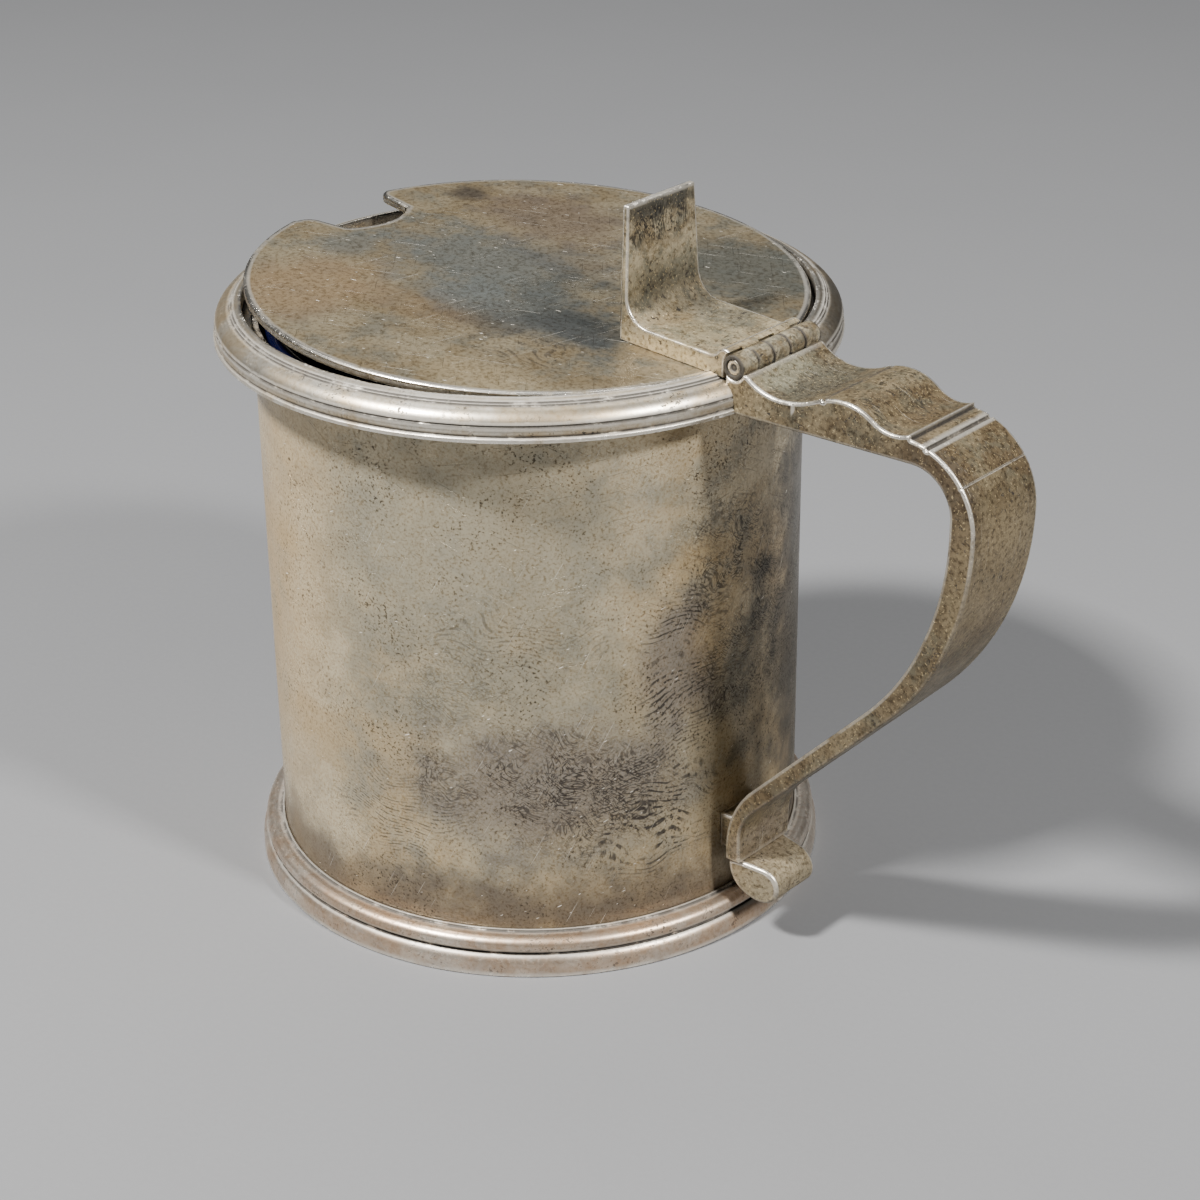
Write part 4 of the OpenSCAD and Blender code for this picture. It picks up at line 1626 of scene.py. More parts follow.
@dataclass
class Hinge:
    """The five knuckles and the pin.

    The handle's knuckles are tight on the pin, the lid's have play, and the lid stands ajar.
    """

    turned: TurnedTree
    barrel: BarrelTree
    x: float = 33.1
    z: float = 67.95
    length: float = 12.8
    radius: float = 1.3
    pin: float = 0.78
    play: float = 0.04
    gap: float = 0.05
    recess: float = 0.12
    ajar: float = 3.3
    clear: float = 0.25
    seat: float = 0.2
    mouth: float = 0.14
    dirt_reach: float = 0.32
    dirt_fade: float = 0.2
    dish: float = 0.1
    dish_floor: float = 0.35
    dish_rim: float = 0.6
    drawing: Drawing = Drawing(soft=0.16, step=0.2, fade=0.3)
    pin_drawing: Drawing = Drawing(soft=0.1, step=0.3, fade=0.15)
    turning: Turning = Turning(72)
    pin_turning: Turning = Turning(64)

    @property
    def half(self) -> float:
        """Half the length of the knuckles together."""
        return self.length / 2

    @property
    def width(self) -> float:
        """Length of one knuckle."""
        return self.length / KNUCKLES

    def spans(self, handle: int, lid: int) -> list[tuple[float, float, int]]:
        """List the stretches along the hinge: start, end, and the outline that faces their knuckle."""
        starts = [i * self.width - self.half for i in range(KNUCKLES)]
        return [(start, start + self.width, lid if i % 2 else handle) for i, start in enumerate(starts)]

    def swing(self, points: Array) -> Array:
        """Turn points about the hinge to where the lid stands.

        Args:
            points: Places with the lid shut.

        Returns:
            The turned places.
        """
        turn = math.radians(self.ajar)
        across = points[:, 0] - self.x
        up = points[:, 2] - self.z
        return np.stack(
            [
                self.x + across * math.cos(turn) + up * math.sin(turn),
                points[:, 1],
                self.z - across * math.sin(turn) + up * math.cos(turn),
            ],
            1,
        )

    def _knuckle(self, length: float, bore: float) -> Outline:
        """Draw half the section of a knuckle.

        Args:
            length: Length of the knuckle.
            bore: Radius of its bore.

        Returns:
            The outline in radius and length, dirty towards its ends.
        """
        half = length / 2
        end = [(bore, self.mouth - half), (bore + self.mouth, -half), (self.radius, -half)]
        section = Outline.trace(mirrored(end), self.drawing)
        inwards = half - np.abs(section.points[:, 1])
        section.grime = np.clip((self.dirt_reach - inwards) / self.dirt_fade, 0, 1)
        section.wear[:] = 0.0
        return section

    def build(self) -> None:
        """Build the knuckles and the pin."""
        finish = HINGE_FINISH.material()
        short, loose = self.width - 2 * self.gap, self.pin + self.play
        sets = (
            ("handle_knuckles", Body.POT, self.width, self.pin, ("near", "mid", "far")),
            ("lid_knuckles", Body.LID, short, loose, ("near", "far")),
        )
        for name, body, length, bore, places in sets:
            one = self.turned.turn(name + "_one", self._knuckle(length, bore), finish, self.turning)
            one.transform(LENGTHWISE)
            first = (1 - len(places)) * self.width
            values = {
                "Count": len(places),
                "Start": (self.x * MM, first * MM, self.z * MM),
                "Step": (0.0, 2 * self.width * MM, 0.0),
                "Material": finish,
            }
            mesh = self.barrel.run(name, one, values)
            mesh.set_sharp_from_angle(angle=SHARP_TURN)
            side = name.split("_")[0]
            show(name, mesh, finish, body, [f"{side}_knuckle_{place}" for place in places])
        self._pin()

    def _pin(self) -> None:
        """Build the pin, its ends dished where they were riveted."""
        half = self.half - self.recess
        floor, rim = self.pin * self.dish_floor, self.pin * self.dish_rim
        end = [(0.0, self.dish - half), (floor, self.dish - half), (rim, -half), (self.pin, -half)]
        finish = PIN_FINISH.material()
        section = Outline.trace(mirrored(end), self.pin_drawing, closed=False)
        mesh = self.turned.turn("hinge_pin_turned", section, finish, self.pin_turning)
        mesh.transform(LENGTHWISE)
        mesh.transform(Matrix.Translation((self.x * MM, 0.0, self.z * MM)))
        show("hinge_pin_turned", mesh, finish, Body.POT, ["hinge_pin"])


@dataclass
class Drum:
    """The drum's wall and its bottom disc."""

    turned: TurnedTree
    radius: float = DRUM_R
    wall: float = 0.7
    low: float = 2.2
    ledge: float = LEDGE
    base_low: float = 2.4
    base_thick: float = 0.8
    drawing: Drawing = Drawing(soft=0.15, step=1.2, fade=0.4)
    base_drawing: Drawing = Drawing(soft=0.15, step=2.0, fade=0.4)
    turning: Turning = Turning(288, wave=0.09, wave_size=16.0, seed=2.0)
    base_turning: Turning = Turning(160, wave=0.05, seed=5.0)

    def build(self) -> None:
        """Build the wall and the disc."""
        finish = DRUM_FINISH.material()
        inner = self.radius - self.wall
        wall = [(inner, self.low), (self.radius, self.low), (self.radius, self.ledge), (inner, self.ledge)]
        mesh = self.turned.turn("drum_wall", Outline.trace(wall, self.drawing), finish, self.turning)
        show("drum_wall", mesh, finish, Body.POT, ["body_wall"])
        top = self.base_low + self.base_thick
        disc = [(0.0, self.base_low), (inner, self.base_low), (inner, top), (0.0, top)]
        profile = Outline.trace(disc, self.base_drawing, closed=False)
        mesh = self.turned.turn("drum_bottom", profile, finish, self.base_turning)
        show("drum_bottom", mesh, finish, Body.POT, ["base_plate"])


@dataclass
class FootRing:
    """The moulded foot."""

    turned: TurnedTree
    inner: float = DRUM_R
    outer: float = 32.5
    band: float = 1.2
    round_r: float = 1.75
    torus: Point = (31.05, 3.4)
    torus_r: float = 1.0
    groove_r: float = 0.16
    fillet: float = 0.35
    top: float = 4.65
    drawing: Drawing = Drawing(soft=0.22, step=0.16, fade=0.45)
    turning: Turning = Turning(320, wave=0.07, wave_size=7.0, seed=11.0)

    def build(self) -> None:
        """Build the ring."""
        centre = (self.outer - self.round_r, self.band)
        meet = crossing(centre, self.round_r, self.torus, self.torus_r)
        corners = [(self.inner, 0.0), (self.outer, 0.0)]
        corners += arc(centre, self.round_r, 0, heading(centre, meet))
        corners += arc(self.torus, self.torus_r, heading(self.torus, meet), 90)
        collar = self.inner + self.fillet
        corners += [(collar, self.torus[1] + self.torus_r), (collar, self.top), (self.inner, self.top)]
        profile = Outline.trace(corners, self.drawing, [(meet, self.groove_r)])
        finish = FOOT_FINISH.material()
        mesh = self.turned.turn("foot_moulding", profile, finish, self.turning)
        show("foot_moulding", mesh, finish, Body.POT, ["foot_ring"])


@dataclass
class RimRing:
    """The moulded rim, cut away where the handle's block stands."""

    turned: TurnedTree
    gap: float
    inner: float = DRUM_R
    low: float = RIM_LOW
    fillet_r: float = 34.0
    fillet: float = 0.45
    bead: Point = (33.25, 64.2)
    bead_r: float = 0.65
    band: Point = (31.97, 64.48)
    band_r: float = 1.9
    groove_z: float = 64.85
    groove_r: float = 0.12
    step: Point = (32.1, 66.59)
    lip: Point = (31.85, 66.75)
    mouth: float = MOUTH_R
    top: float = 67.0
    ledge: float = LEDGE
    drawing: Drawing = Drawing(soft=0.14, step=0.16, fade=0.4)
    turning: Turning = Turning(340, wave=0.07, wave_size=7.0, seed=23.0)

    def build(self) -> None:
        """Build the ring."""
        corner = (self.fillet_r, self.low + self.fillet)
        meet = crossing(self.bead, self.bead_r, self.band, self.band_r)
        corners = [(self.inner, self.low), (self.fillet_r, self.low), corner]
        corners += arc(self.bead, self.bead_r, heading(self.bead, corner), heading(self.bead, meet), step=6)
        end = math.degrees(math.acos((self.step[0] - self.band[0]) / self.band_r))
        corners += arc(self.band, self.band_r, heading(self.band, meet), end)
        corners += [self.step, (self.lip[0], self.step[1]), self.lip]
        corners += [(self.mouth, self.top), (self.mouth, self.ledge), (self.inner, self.ledge)]
        reach = math.sqrt(self.band_r**2 - (self.groove_z - self.band[1]) ** 2)
        groove = (self.band[0] + reach, self.groove_z)
        profile = Outline.trace(corners, self.drawing, [(groove, self.groove_r)])
        finish = RIM_FINISH.material()
        mesh = self.turned.turn("rim_moulding", profile, finish, self.turning, self.gap)
        show("rim_moulding", mesh, finish, Body.POT, ["rim_ring"])


@dataclass
class Liner:
    """The loose glass liner."""

    turned: TurnedTree
    outer: float = 28.6
    inner: float = 26.6
    low: float = 3.2
    floor: float = 6.2
    top: float = 64.5
    lip_r: float = 1.0
    edge_r: float = 3.0
    inner_r: float = 2.0
    drawing: Drawing = Drawing(soft=0.05, step=2.0, fade=0.1)
    turning: Turning = Turning(192, wave=0.05, wave_size=14.0, seed=31.0)

    def build(self) -> None:
        """Build the liner."""
        corners = [(0.0, self.low)]
        corners += arc((self.outer - self.edge_r, self.low + self.edge_r), self.edge_r, -90, 0, step=6)
        corners += arc((self.outer - self.lip_r, self.top - self.lip_r), self.lip_r, 0, 180, step=8)
        corners += arc((self.inner - self.inner_r, self.floor + self.inner_r), self.inner_r, 0, -90, step=6)
        corners.append((0.0, self.floor))
        profile = Outline.trace(corners, self.drawing, closed=False)
        finish = Glass().material()
        mesh = self.turned.turn("blue_liner", profile, finish, self.turning)
        show("blue_liner", mesh, finish, Body.POT, ["glass_liner"])


@dataclass
class Lid:
    """The flat lid with its spoon notch."""

    hinge: Hinge
    radius: float = 30.4
    low: float = 65.24
    thick: float = 1.0
    notch_half: float = 4.75
    mouth_half: float = 5.25
    depth: float = 8.2
    end_r: float = 7.5
    shoulder_r: float = 2.0
    side: float = 2.0
    setback: float = 1.0
    notch_y: float = 1.0
    edge: float = 0.3
    fade: float = 0.5
    drawing: Drawing = Drawing(soft=0.6, step=0.5, fade=0.4)

    def outline(self) -> Outline:
        """Draw the lid from above.

        Returns:
            The outline with its spoon notch.
        """
        end_x = self.depth - self.radius
        end_c = (end_x - self.end_r, self.notch_y)
        mouth_x = self.shoulder_r + self.setback - self.radius
        lift = self.mouth_half + self.shoulder_r
        far_c = (mouth_x, self.notch_y + lift)
        near_c = (mouth_x, self.notch_y - lift)
        spread = math.degrees(math.asin(self.notch_half / self.end_r))
        shoulders = (
            arc(far_c, self.shoulder_r, 180, 270, step=4),
            arc(near_c, self.shoulder_r, 90, 180, step=4),
        )
        far_arc, near_arc = ([p for p in side if math.hypot(*p) < self.radius] for side in shoulders)
        start = 360 + heading((0.0, 0.0), near_arc[-1])
        stop = 360 + heading((0.0, 0.0), far_arc[0])
        corners = arc((0.0, 0.0), self.radius, start, stop, step=1.2)
        corners += far_arc
        corners.append((end_x - self.side, self.notch_y + self.notch_half))
        corners += arc(end_c, self.end_r, spread, -spread, step=3)
        corners.append((end_x - self.side, self.notch_y - self.notch_half))
        corners += near_arc
        return Outline.trace(corners, self.drawing)

    def build(self) -> None:
        """Build the plate where the hinge holds it."""
        middle = self.low + self.thick / 2
        outline = self.outline()
        outline.wear[:] = 0.0
        outline.grime[:] = 0.0
        slab = Slab([outline], self.thick / 2, self.edge, self.fade, Plane.PLAN)
        finish = LID_FINISH.material()

        def stand(points: Array) -> Array:
            """Lift the plate to its height and swing it ajar."""
            return self.hinge.swing(points + np.array((0.0, 0.0, middle)))

        show("lid_disc", slab.mesh("lid_disc", stand), finish, Body.LID, ["lid_plate"])


@dataclass
class Thumbpiece:
    """The upright with its base, cut back round the handle's knuckles."""

    hinge: Hinge
    lid_top: float = 66.24
    half: float = 5.9
    top_half: float = 5.25
    height: float = 14.15
    reach: float = 15.1
    thick: float = 0.85
    top_thick: float = 0.7
    lean: float = 0.8
    base: float = 2.05
    hollow_r: float = 3.0
    ridge_r: float = 1.05
    ridge_reach: float = 1.55
    ridge_rise: float = 0.3
    blend_r: float = 1.2
    end_x: float = 31.85
    plain_x: float = 31.4
    edge: float = 0.16
    fade: float = 0.12
    end_points: int = 40
    ridge_turn: float = 95.0
    taper_rise: float = 1.2
    fit: float = 0.01
    drawing: Drawing = Drawing(soft=0.16, step=0.3, fade=0.3)

    def outline(self, round_r: float, back_x: float) -> Outline:
        """Draw the thumbpiece from its side, the lid shut.

        Args:
            round_r: Radius that clears a knuckle.
            back_x: How far the base reaches under the knuckle.

        Returns:
            The outline, with a fixed number of points at its hinge end.
        """
        hinge = self.hinge
        face = hinge.x - self.reach
        top = self.lid_top + self.height
        base_top = self.lid_top + self.base
        back_foot = (face + self.thick, base_top)
        back_top = (face - self.lean + self.top_thick, top)
        back = heading(back_foot, back_top) - 90
        slope = math.radians(back)
        hollow_x = back_foot[0] + self.hollow_r * (1 - math.sin(slope)) / math.cos(slope)
        ridge = (hinge.x - self.ridge_reach, hinge.z + self.ridge_rise)
        blend_z = base_top + self.blend_r
        drop = blend_z - ridge[1]
        blend = (ridge[0] - math.sqrt((self.blend_r + self.ridge_r) ** 2 - drop**2), blend_z)
        corners = [(face, self.lid_top), (face - self.lean, top), back_top]
        corners += arc((hollow_x, base_top + self.hollow_r), self.hollow_r, 180 + back, 270)
        corners += arc(blend, self.blend_r, -90, heading(blend, ridge), step=6)
        corners += arc(ridge, self.ridge_r, heading(ridge, blend), self.ridge_turn, step=5)
        body = Outline.trace(corners + [(self.plain_x, self.lid_top)], self.drawing)
        return self._end(body, ridge, round_r, back_x)

    def _end(self, body: Outline, ridge: Point, round_r: float, back_x: float) -> Outline:
        """Fit the hinge end of the outline round a knuckle.

        Args:
            body: Outline with a straight hinge end.
            ridge: Centre of the ridge.
            round_r: Radius that clears the knuckle.
            back_x: Reach of the base under the knuckle.

        Returns:
            The outline with its fitted end.
        """
        hinge = self.hinge
        centre = (hinge.x, hinge.z)
        over = arc(ridge, self.ridge_r, self.ridge_turn, 0, step=2)
        top = [p for p in over if math.dist(p, centre) > round_r]
        low = 180.0
        if back_x > hinge.x - round_r:
            low += math.degrees(math.acos((hinge.x - back_x) / round_r))
        sweep = arc(centre, round_r, heading(centre, top[-1]), low, step=4)
        tail = np.array(top + sweep + [(back_x, self.lid_top)])
        reach = along(tail)
        even = np.linspace(0, reach[-1], self.end_points)
        fitted = np.stack([np.interp(even, reach, tail[:, axis]) for axis in range(2)], 1)
        first = int(np.argmin(away_from(body.points, (hinge.x - self.reach, self.lid_top))))
        order = np.roll(np.arange(len(body.points)), -first)
        ring = body.points[order]
        cut = int(np.argmin(away_from(ring, tail[0])))
        base = int(np.flatnonzero(np.abs(ring[:cut, 1] - self.lid_top) < MERGE_MM).max())
        kept = order[np.arange(cut + 1, len(ring) + base + 1) % len(ring)]
        bare = np.zeros(len(fitted))
        return Outline(
            np.vstack([fitted[::-1], body.points[kept]]),
            np.concatenate([bare, body.wear[kept]]),
            np.concatenate([bare, body.grime[kept]]),
        )

    def _taper(self, flat: Array) -> Array:
        """Return the half width at each point: it narrows up the upright."""
        heights = (self.lid_top + self.base + self.taper_rise, self.lid_top + self.height)
        return np.interp(flat[:, 1], heights, (self.half, self.top_half))

    def build(self) -> None:
        """Build the thumbpiece where the hinge holds it."""
        hinge = self.hinge
        tight = self.outline(hinge.radius + self.fit, self.end_x)
        clear_r = hinge.radius + hinge.clear
        clear = self.outline(clear_r, hinge.x - clear_r)
        spans = hinge.spans(0, 1)
        slab = Slab([clear, tight], self.half, self.edge, self.fade, spans=spans, taper=self._taper)
        finish = THUMB_FINISH.material()
        mesh = slab.mesh("thumb_rest", hinge.swing)
        show("thumb_rest", mesh, finish, Body.LID, ["thumbpiece"])


@dataclass
class Handle:
    """The cast strap with its reeded top, its terminal and the lug behind it."""

    hinge: Hinge
    drum_r: float = DRUM_R
    mouth_r: float = MOUTH_R
    low: float = RIM_LOW
    ledge: float = LEDGE
    block_top: float = 66.0
    step_x: float = 32.15
    land_z: float = 67.45
    half: float = 6.4
    wide_x: float = 34.4
    strap_half: float = 5.5
    low_half: float = 4.4
    wide_z: float = 45.2
    scoop_1: Point = (38.8, 65.95)
    scoop_1_r: float = 6.2
    hump: Point = (46.1, 67.6)
    hump_in_r: float = 7.6
    hump_out_r: float = 5.8
    scoop_2: Point = (52.0, 65.66)
    reed_1_x: float = 43.8
    reed_2_x: float = 53.84
    reed_3_x: float = 55.8
    reed_r: float = 0.22
    seam_turn: float = 37.0
    seam_r: float = 0.08
    seam_reach: float = 0.12
    seam_clear: float = 0.8
    seam_wear: float = 0.55
    seat_reach: float = 2.2
    seat_wear: float = 0.3
    dull_z: float = 51.0
    bright_z: float = 59.0
    low_rub: float = 0.3
    # The terminal's bright edge is partly wear and partly a painted highlight along its top-front edge.
    tip_wear_and_highlight: float = 0.75
    tip_drop: float = 0.1
    tip_rise: float = 0.9
    face: float = 61.6
    thick: float = 2.85
    bend_out_r: float = 8.4
    bend_in_r: float = 4.6
    sweep_z: float = 57.2
    sweep_out_r: float = 32.8
    strip: float = 2.0
    toe_out_r: float = 6.0
    toe_out_rise: float = 2.8
    toe_in_rise: float = 1.2
    toe_face: float = 33.25
    toe_back: float = 31.4
    toe_z: float = 9.6
    curl: Point = (35.6, 9.2)
    curl_r: float = 4.0
    nose_r: float = 2.1
    nose_turn: float = 86.0
    fall: float = 0.32
    terminal_half: float = 4.2
    tip_half: float = 3.3
    lug_low: float = 10.2
    lug_high: float = 14.2
    lug_half: float = 3.2
    lug_margin: float = 3.0
    lug_steps: int = 8
    lug_sink: float = 0.05
    edge: float = 0.24
    fade: float = 0.14
    terminal_edge: float = 0.35
    lug_edge: float = 0.2
    seat_points: int = 24
    fit_reach: float = 0.05
    drawing: Drawing = Drawing(soft=0.2, step=0.45, fade=0.4)
    terminal_drawing: Drawing = Drawing(soft=0.25, step=0.3, fade=0.4)
    lug_drawing: Drawing = Drawing(soft=0.1, step=0.3, fade=0.2)

    def _slope(self) -> tuple[float, float, float]:
        """Find how the strap's straight stretch joins its curves.

        Returns:
            Slope of the stretch in degrees, and the inner radii of the long curve and the toe.
        """
        span = (
            self.toe_face + self.toe_out_r - self.face + self.sweep_out_r,
            self.toe_z + self.toe_out_rise - self.sweep_z,
        )
        near = math.acos((self.sweep_out_r + self.toe_out_r) / math.hypot(*span))
        slope = math.atan2(-span[1], span[0]) - near
        square = (math.cos(slope), -math.sin(slope))
        sweep = self.sweep_out_r + (self.thick * square[0] - self.strip) / (1 - square[0])
        inner = self.face - self.thick
        back = (inner - sweep) * square[0] + self.sweep_z * square[1] + sweep
        toe = self.toe_back * square[0] + (self.toe_z + self.toe_in_rise) * square[1] - back
        return math.degrees(slope), sweep, toe / (1 - square[0])

    def _side(self, face: float, sweep_r: float, toe_x: float, toe_r: float) -> list[Point]:
        """List the points down one face of the strap.

        Args:
            face: Outermost reach of the face.
            sweep_r: Radius of the long curve.
            toe_x: Reach of the face at the joint with the terminal.
            toe_r: Radius of the toe.

        Returns:
            The points from the long curve to the joint.
        """
        slope = self._slope()[0]
        turn = math.radians(slope)
        centre = (face - sweep_r, self.sweep_z)
        end = on_arc(centre, sweep_r, -slope)
        run = (end[0] + toe_r * math.cos(turn) - toe_x - toe_r) / math.sin(turn)
        start = (end[0] - run * math.sin(turn), end[1] - run * math.cos(turn))
        toe = on_arc(start, toe_r, -slope)
        points = arc(centre, sweep_r, 0, -slope, step=1.2)
        points += arc(toe, toe_r, 180 - slope, 180)
        return points + [(toe_x, self.toe_z)]

    def inner_side(self) -> list[Point]:
        """List the points down the strap's inner face."""
        _, sweep, toe = self._slope()
        return self._side(self.face - self.thick, sweep, self.toe_back, toe)

    def _top(self, seat_r: float) -> list[Point]:
        """List the points along the strap's top, from the second reed to the block.

        Args:
            seat_r: Radius of the seat under a knuckle.

        Returns:
            The points, seat included.
        """
        one, crest, two = self.scoop_1, self.hump, self.scoop_2
        rise_1, rise_2 = crest[1] - one[1], crest[1] - two[1]
        sum_1 = ((crest[0] - one[0]) ** 2 + rise_1**2) / (2 * rise_1)
        sum_2 = ((two[0] - crest[0]) ** 2 + rise_2**2) / (2 * rise_2)
        r1, r2 = sum_1 - self.hump_in_r, sum_2 - self.hump_out_r
        turn_1 = math.degrees(math.asin((crest[0] - one[0]) / sum_1))
        turn_2 = math.degrees(math.asin((two[0] - crest[0]) / sum_2))
        first = math.degrees(math.asin((self.reed_2_x - two[0]) / r2)) - 90
        land = -90 - math.degrees(math.acos((one[1] + self.scoop_1_r - self.land_z) / self.scoop_1_r))
        points = arc((two[0], two[1] + r2), r2, first, -90 - turn_2)
        points += arc((crest[0], crest[1] - self.hump_out_r), self.hump_out_r, 90 - turn_2, 90)
        points += arc((crest[0], crest[1] - self.hump_in_r), self.hump_in_r, 90, 90 + turn_1)
        points += arc((one[0], one[1] + r1), r1, turn_1 - 90, -90)
        points += arc((one[0], one[1] + self.scoop_1_r), self.scoop_1_r, -90, land)
        return points + self._seat(seat_r)

    def _seat(self, seat_r: float) -> list[Point]:
        """List a fixed number of points round the seat of a knuckle.

        Args:
            seat_r: Radius of the seat.

        Returns:
            The points.
        """
        hinge = self.hinge
        centre = (hinge.x, hinge.z)
        start = -math.degrees(math.asin((hinge.z - self.land_z) / seat_r))
        end = -90 - math.degrees(math.asin((hinge.x - self.step_x) / seat_r))
        count = self.seat_points
        return [on_arc(centre, seat_r, start + (end - start) * i / count) for i in range(count + 1)]

    def outline(self, seat_r: float) -> Outline:
        """Draw the strap from its side.

        Args:
            seat_r: Radius of the seat under a knuckle.

        Returns:
            The outline.
        """
        back = self.face - self.thick
        bend_in = (back - self.bend_in_r, self.low - self.bend_in_r)
        bend_out = (self.face - self.bend_out_r, self.sweep_z)
        start = math.degrees(math.acos((self.reed_2_x - bend_out[0]) / self.bend_out_r))
        corners = [(self.drum_r, self.low)]
        corners += arc(bend_in, self.bend_in_r, 90, 0)
        corners += self.inner_side()
        corners += self._side(self.face, self.sweep_out_r, self.toe_face, self.toe_out_r)[::-1]
        corners += arc(bend_out, self.bend_out_r, 0, start)
        corners += self._top(seat_r)
        corners += [
            (self.step_x, self.block_top),
            (self.mouth_r, self.block_top),
            (self.mouth_r, self.ledge),
            (self.drum_r, self.ledge),
        ]
        crest = (self.hump[0], self.hump[1] - self.hump_in_r)
        first = math.sqrt(self.hump_in_r**2 - (self.reed_1_x - crest[0]) ** 2)
        third = math.sqrt(self.bend_out_r**2 - (self.reed_3_x - bend_out[0]) ** 2)
        grooves = [
            ((self.reed_1_x, crest[1] + first), self.reed_r),
            ((self.reed_3_x, bend_out[1] + third), self.reed_r),
            (on_arc(bend_out, self.bend_out_r, self.seam_turn), self.seam_r),
        ]
        outline = Outline.trace(corners, self.drawing, grooves)
        for spot, share in ((grooves[0][0], 0.0), (grooves[-1][0], self.seam_wear)):
            away = away_from(outline.points, spot)
            outline.wear[away < self.seam_clear] = 0.0
            outline.wear[away < self.seam_reach] = share
        outline.grime[away < self.seam_clear] = 0.0
        hollow = away_from(outline.points, (self.hinge.x, self.hinge.z)) < self.seat_reach
        outline.wear[hollow] *= self.seat_wear
        return outline

    def _taper(self, flat: Array) -> Array:
        """Find the half width of the strap.

        Args:
            flat: Points of its outline.

        Returns:
            The half width at each point.
        """
        top = np.interp(flat[:, 0], (self.wide_x, self.reed_2_x), (self.half, self.strap_half))
        below = np.interp(flat[:, 1], (self.toe_z, self.wide_z), (self.low_half, self.strap_half))
        return np.where(flat[:, 1] < self.low - self.bend_in_r, below, top)

    def _wear_and_tip_highlight(self, flat: Array) -> Array:
        """Return the share of the wear at each point: most on the top, least below the bend, and high again
        on the terminal, whose bright edge is partly a painted highlight.
        """
        heights = (self.toe_z - self.tip_drop, self.toe_z + self.tip_rise, self.dull_z, self.bright_z)
        return np.interp(flat[:, 1], heights, (self.tip_wear_and_highlight, self.low_rub, self.low_rub, 1.0))

    def _round_the_drum(self, points: Array) -> Array:
        """Fit the block's end to the drum and the rim.

        Args:
            points: Places of a straight block.

        Returns:
            The fitted places.
        """
        reach = points[:, 0]
        fitted = np.sqrt(np.maximum(reach**2 - points[:, 1] ** 2, 0))
        points = points.copy()
        points[:, 0] = np.where(reach <= self.mouth_r + self.fit_reach, fitted, reach)
        return points

    def _terminal(self) -> Outline:
        """Draw the terminal from its side.

        Returns:
            The outline, from the joint round the curl and the nose.
        """
        nose = (self.curl[0], self.curl[1] - self.curl_r + self.nose_r)
        rise = math.degrees(math.asin((self.toe_z - self.curl[1]) / self.curl_r))
        tip_x = self.curl[0] + self.nose_r
        slant = self.fall * (self.curl[0] - self.toe_face) / (tip_x - self.toe_face)
        corners = arc(self.curl, self.curl_r, 180 - rise, 270, step=4)
        corners += arc(nose, self.nose_r, -90, self.nose_turn, step=6)
        corners += [(self.curl[0], self.toe_z - slant), (self.toe_face, self.toe_z)]
        return Outline.trace(corners, self.terminal_drawing)

    def _tip(self, flat: Array) -> Array:
        """Return the half width at each point of the terminal."""
        tip = self.toe_back + self.curl_r + self.nose_r
        return np.interp(flat[:, 0], (self.toe_back, tip), (self.terminal_half, self.tip_half))

    def _lug(self) -> Outline:
        """Draw the lug from its side, against the drum and the strap.

        Returns:
            The outline.
        """
        low, high = self.lug_low - self.lug_margin, self.lug_high + self.lug_margin
        side = [p for p in self.inner_side() if low < p[1] < high][::-1]
        rise, count = self.lug_high - self.lug_low, self.lug_steps
        heights = [self.lug_low + rise * i / count for i in range(count + 1)]
        reach = np.interp(heights, [p[1] for p in side], [p[0] for p in side])
        corners = [(self.drum_r, self.lug_high), (self.drum_r, self.lug_low)]
        corners += [(float(x) + self.lug_sink, z) for x, z in zip(reach, heights)]
        return Outline.trace(corners, self.lug_drawing)

    def build(self) -> None:
        """Build the strap, the terminal and the lug."""
        finish = HANDLE_FINISH.material()
        tight = self.outline(self.hinge.radius)
        clear = self.outline(self.hinge.radius + self.hinge.seat)
        shapes, spans = [tight, clear], self.hinge.spans(0, 1)
        slab = Slab(shapes, self.half, self.edge, self.fade, spans=spans, taper=self._taper, rub=self._wear_and_tip_highlight)
        mesh = slab.mesh("cast_strap", self._round_the_drum)
        show("cast_strap", mesh, finish, Body.POT, ["handle_strap"])
        shapes, edge = [self._terminal()], self.terminal_edge
        slab = Slab(shapes, self.terminal_half, edge, self.fade, taper=self._tip, rub=self._wear_and_tip_highlight)
        mesh = slab.mesh("curled_terminal")
        show("curled_terminal", mesh, finish, Body.POT, ["handle_terminal"])
        slab = Slab([self._lug()], self.lug_half, self.lug_edge, self.lug_edge)
        mesh = slab.mesh("strap_lug", self._round_the_drum)
        show("strap_lug", mesh, finish, Body.POT, ["handle_lug"])


# Studio


@dataclass(frozen=True)
class SoftBox:
    """A soft lamp aimed at the pot, its angles in degrees, its distance and size in metres."""

    name: str
    azimuth: float
    elevation: float
    distance: float
    size: tuple[float, float]
    watts: float
    colour: tuple[float, float, float]


def direction(azimuth: float, elevation: float) -> Vector:
    """Return the unit vector from the pot towards an azimuth and elevation in degrees."""
    turn, rise = math.radians(azimuth), math.radians(elevation)
    return Vector((math.sin(turn) * math.cos(rise), -math.cos(turn) * math.cos(rise), math.sin(rise)))


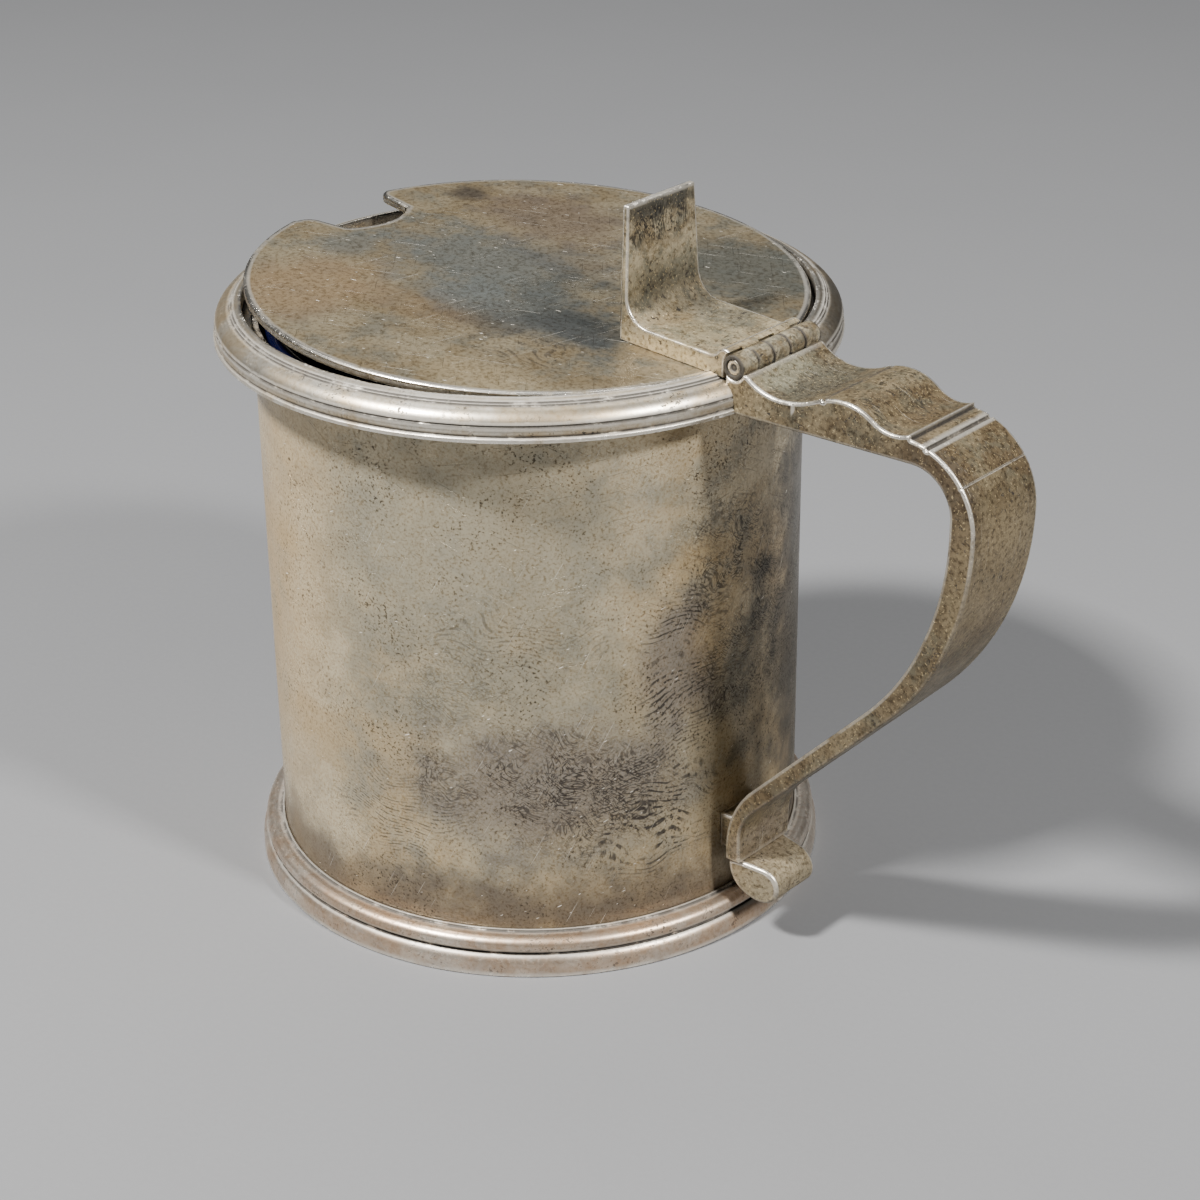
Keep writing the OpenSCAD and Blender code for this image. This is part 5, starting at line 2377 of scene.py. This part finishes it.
@dataclass
class Studio:
    """The floor, the lamps and the camera, in metres and degrees.

    The camera follows from where the picture shows a point on the drum's axis, at a known depth.
    """

    floor_half: float = 3.0
    sky: Colour = tone(186, 190, 196)
    sky_strength: float = 0.1
    aim: float = 0.035
    azimuth: float = 41.263
    elevation: float = 26.442
    roll: float = -0.587
    focal_px: float = 2740.222
    frame_px: float = 1200.0
    depth: float = 0.311276
    axis_height: float = 0.03
    axis_pixel: Point = (535.611, 595.133)
    sensor: float = 36.0
    nearest: float = 0.01
    lamps: tuple[SoftBox, ...] = (
        SoftBox("key_lamp", -17.0, 54.0, 0.7, (0.08, 0.08), 15.5, (1.0, 0.98, 0.95)),
        SoftBox("fill_lamp", 90.0, 39.5, 0.75, (0.08, 0.08), 9.0, (1.0, 0.98, 0.95)),
        SoftBox("back_lamp", 225.0, 62.0, 1.0, (0.8, 0.4), 3.0, (0.96, 0.98, 1.0)),
    )

    def build(self) -> None:
        """Build the studio."""
        self._floor()
        self._room()
        for lamp in self.lamps:
            self._lamp(lamp)
        self._camera()

    def _floor(self) -> None:
        """Lay the floor."""
        half = self.floor_half
        mesh = bpy.data.meshes.new("floor")
        corners = [(-half, -half, 0), (half, -half, 0), (half, half, 0), (-half, half, 0)]
        mesh.from_pydata(corners, [], [(0, 1, 2, 3)])
        mesh.materials.append(Board().material())
        floor = bpy.data.objects.new("floor", mesh)
        bpy.context.scene.collection.objects.link(floor)

    def _room(self) -> None:
        """Give the room an even light."""
        room = bpy.data.worlds.new("room")
        room.use_nodes = True
        back = room.node_tree.nodes["Background"]
        back.inputs["Color"].default_value = self.sky
        back.inputs["Strength"].default_value = self.sky_strength
        bpy.context.scene.world = room

    def _lamp(self, lamp: SoftBox) -> None:
        """Hang one lamp.

        Args:
            lamp: What it is and where it hangs.
        """
        data = bpy.data.lights.new(lamp.name, "AREA")
        data.shape = "RECTANGLE"
        data.size, data.size_y = lamp.size
        data.energy = lamp.watts
        data.color = lamp.colour
        holder = bpy.data.objects.new(lamp.name, data)
        away = direction(lamp.azimuth, lamp.elevation)
        holder.location = Vector((0, 0, self.aim)) + away * lamp.distance
        holder.rotation_euler = away.to_track_quat("Z", "Y").to_euler()
        bpy.context.scene.collection.objects.link(holder)

    def _camera(self) -> None:
        """Stand the camera where the picture was taken from."""
        towards = direction(self.azimuth, self.elevation)
        forward = -towards
        turn, roll = math.radians(self.azimuth), math.radians(self.roll)
        level = Vector((math.cos(turn), math.sin(turn), 0.0))
        upright = level.cross(forward)
        right = level * math.cos(roll) + upright * math.sin(roll)
        above = upright * math.cos(roll) - level * math.sin(roll)
        middle = self.frame_px / 2
        aside = (self.axis_pixel[0] - middle) / self.focal_px
        below = (self.axis_pixel[1] - middle) / self.focal_px
        place = Vector((0, 0, self.axis_height)) - self.depth * (forward + aside * right - below * above)
        data = bpy.data.cameras.new("camera")
        data.sensor_width = self.sensor
        data.lens = self.focal_px / self.frame_px * self.sensor
        data.clip_start = self.nearest
        camera = bpy.data.objects.new("camera", data)
        axes = Matrix((right, above, towards)).transposed()
        camera.matrix_world = Matrix.Translation(place) @ axes.to_4x4()
        bpy.context.scene.collection.objects.link(camera)
        bpy.context.scene.camera = camera


def main() -> None:
    """Build every sub-assembly in order and report it."""
    logging.basicConfig(level=logging.INFO, format="%(message)s")
    turned, barrel = TurnedTree(), BarrelTree()
    hinge = Hinge(turned, barrel)
    pieces = (Drum(turned), FootRing(turned), RimRing(turned, hinge.half), Liner(turned))
    for part in (*pieces, Handle(hinge), hinge, Lid(hinge), Thumbpiece(hinge), Studio()):
        part.build()


if __name__ == "__main__":
    main()
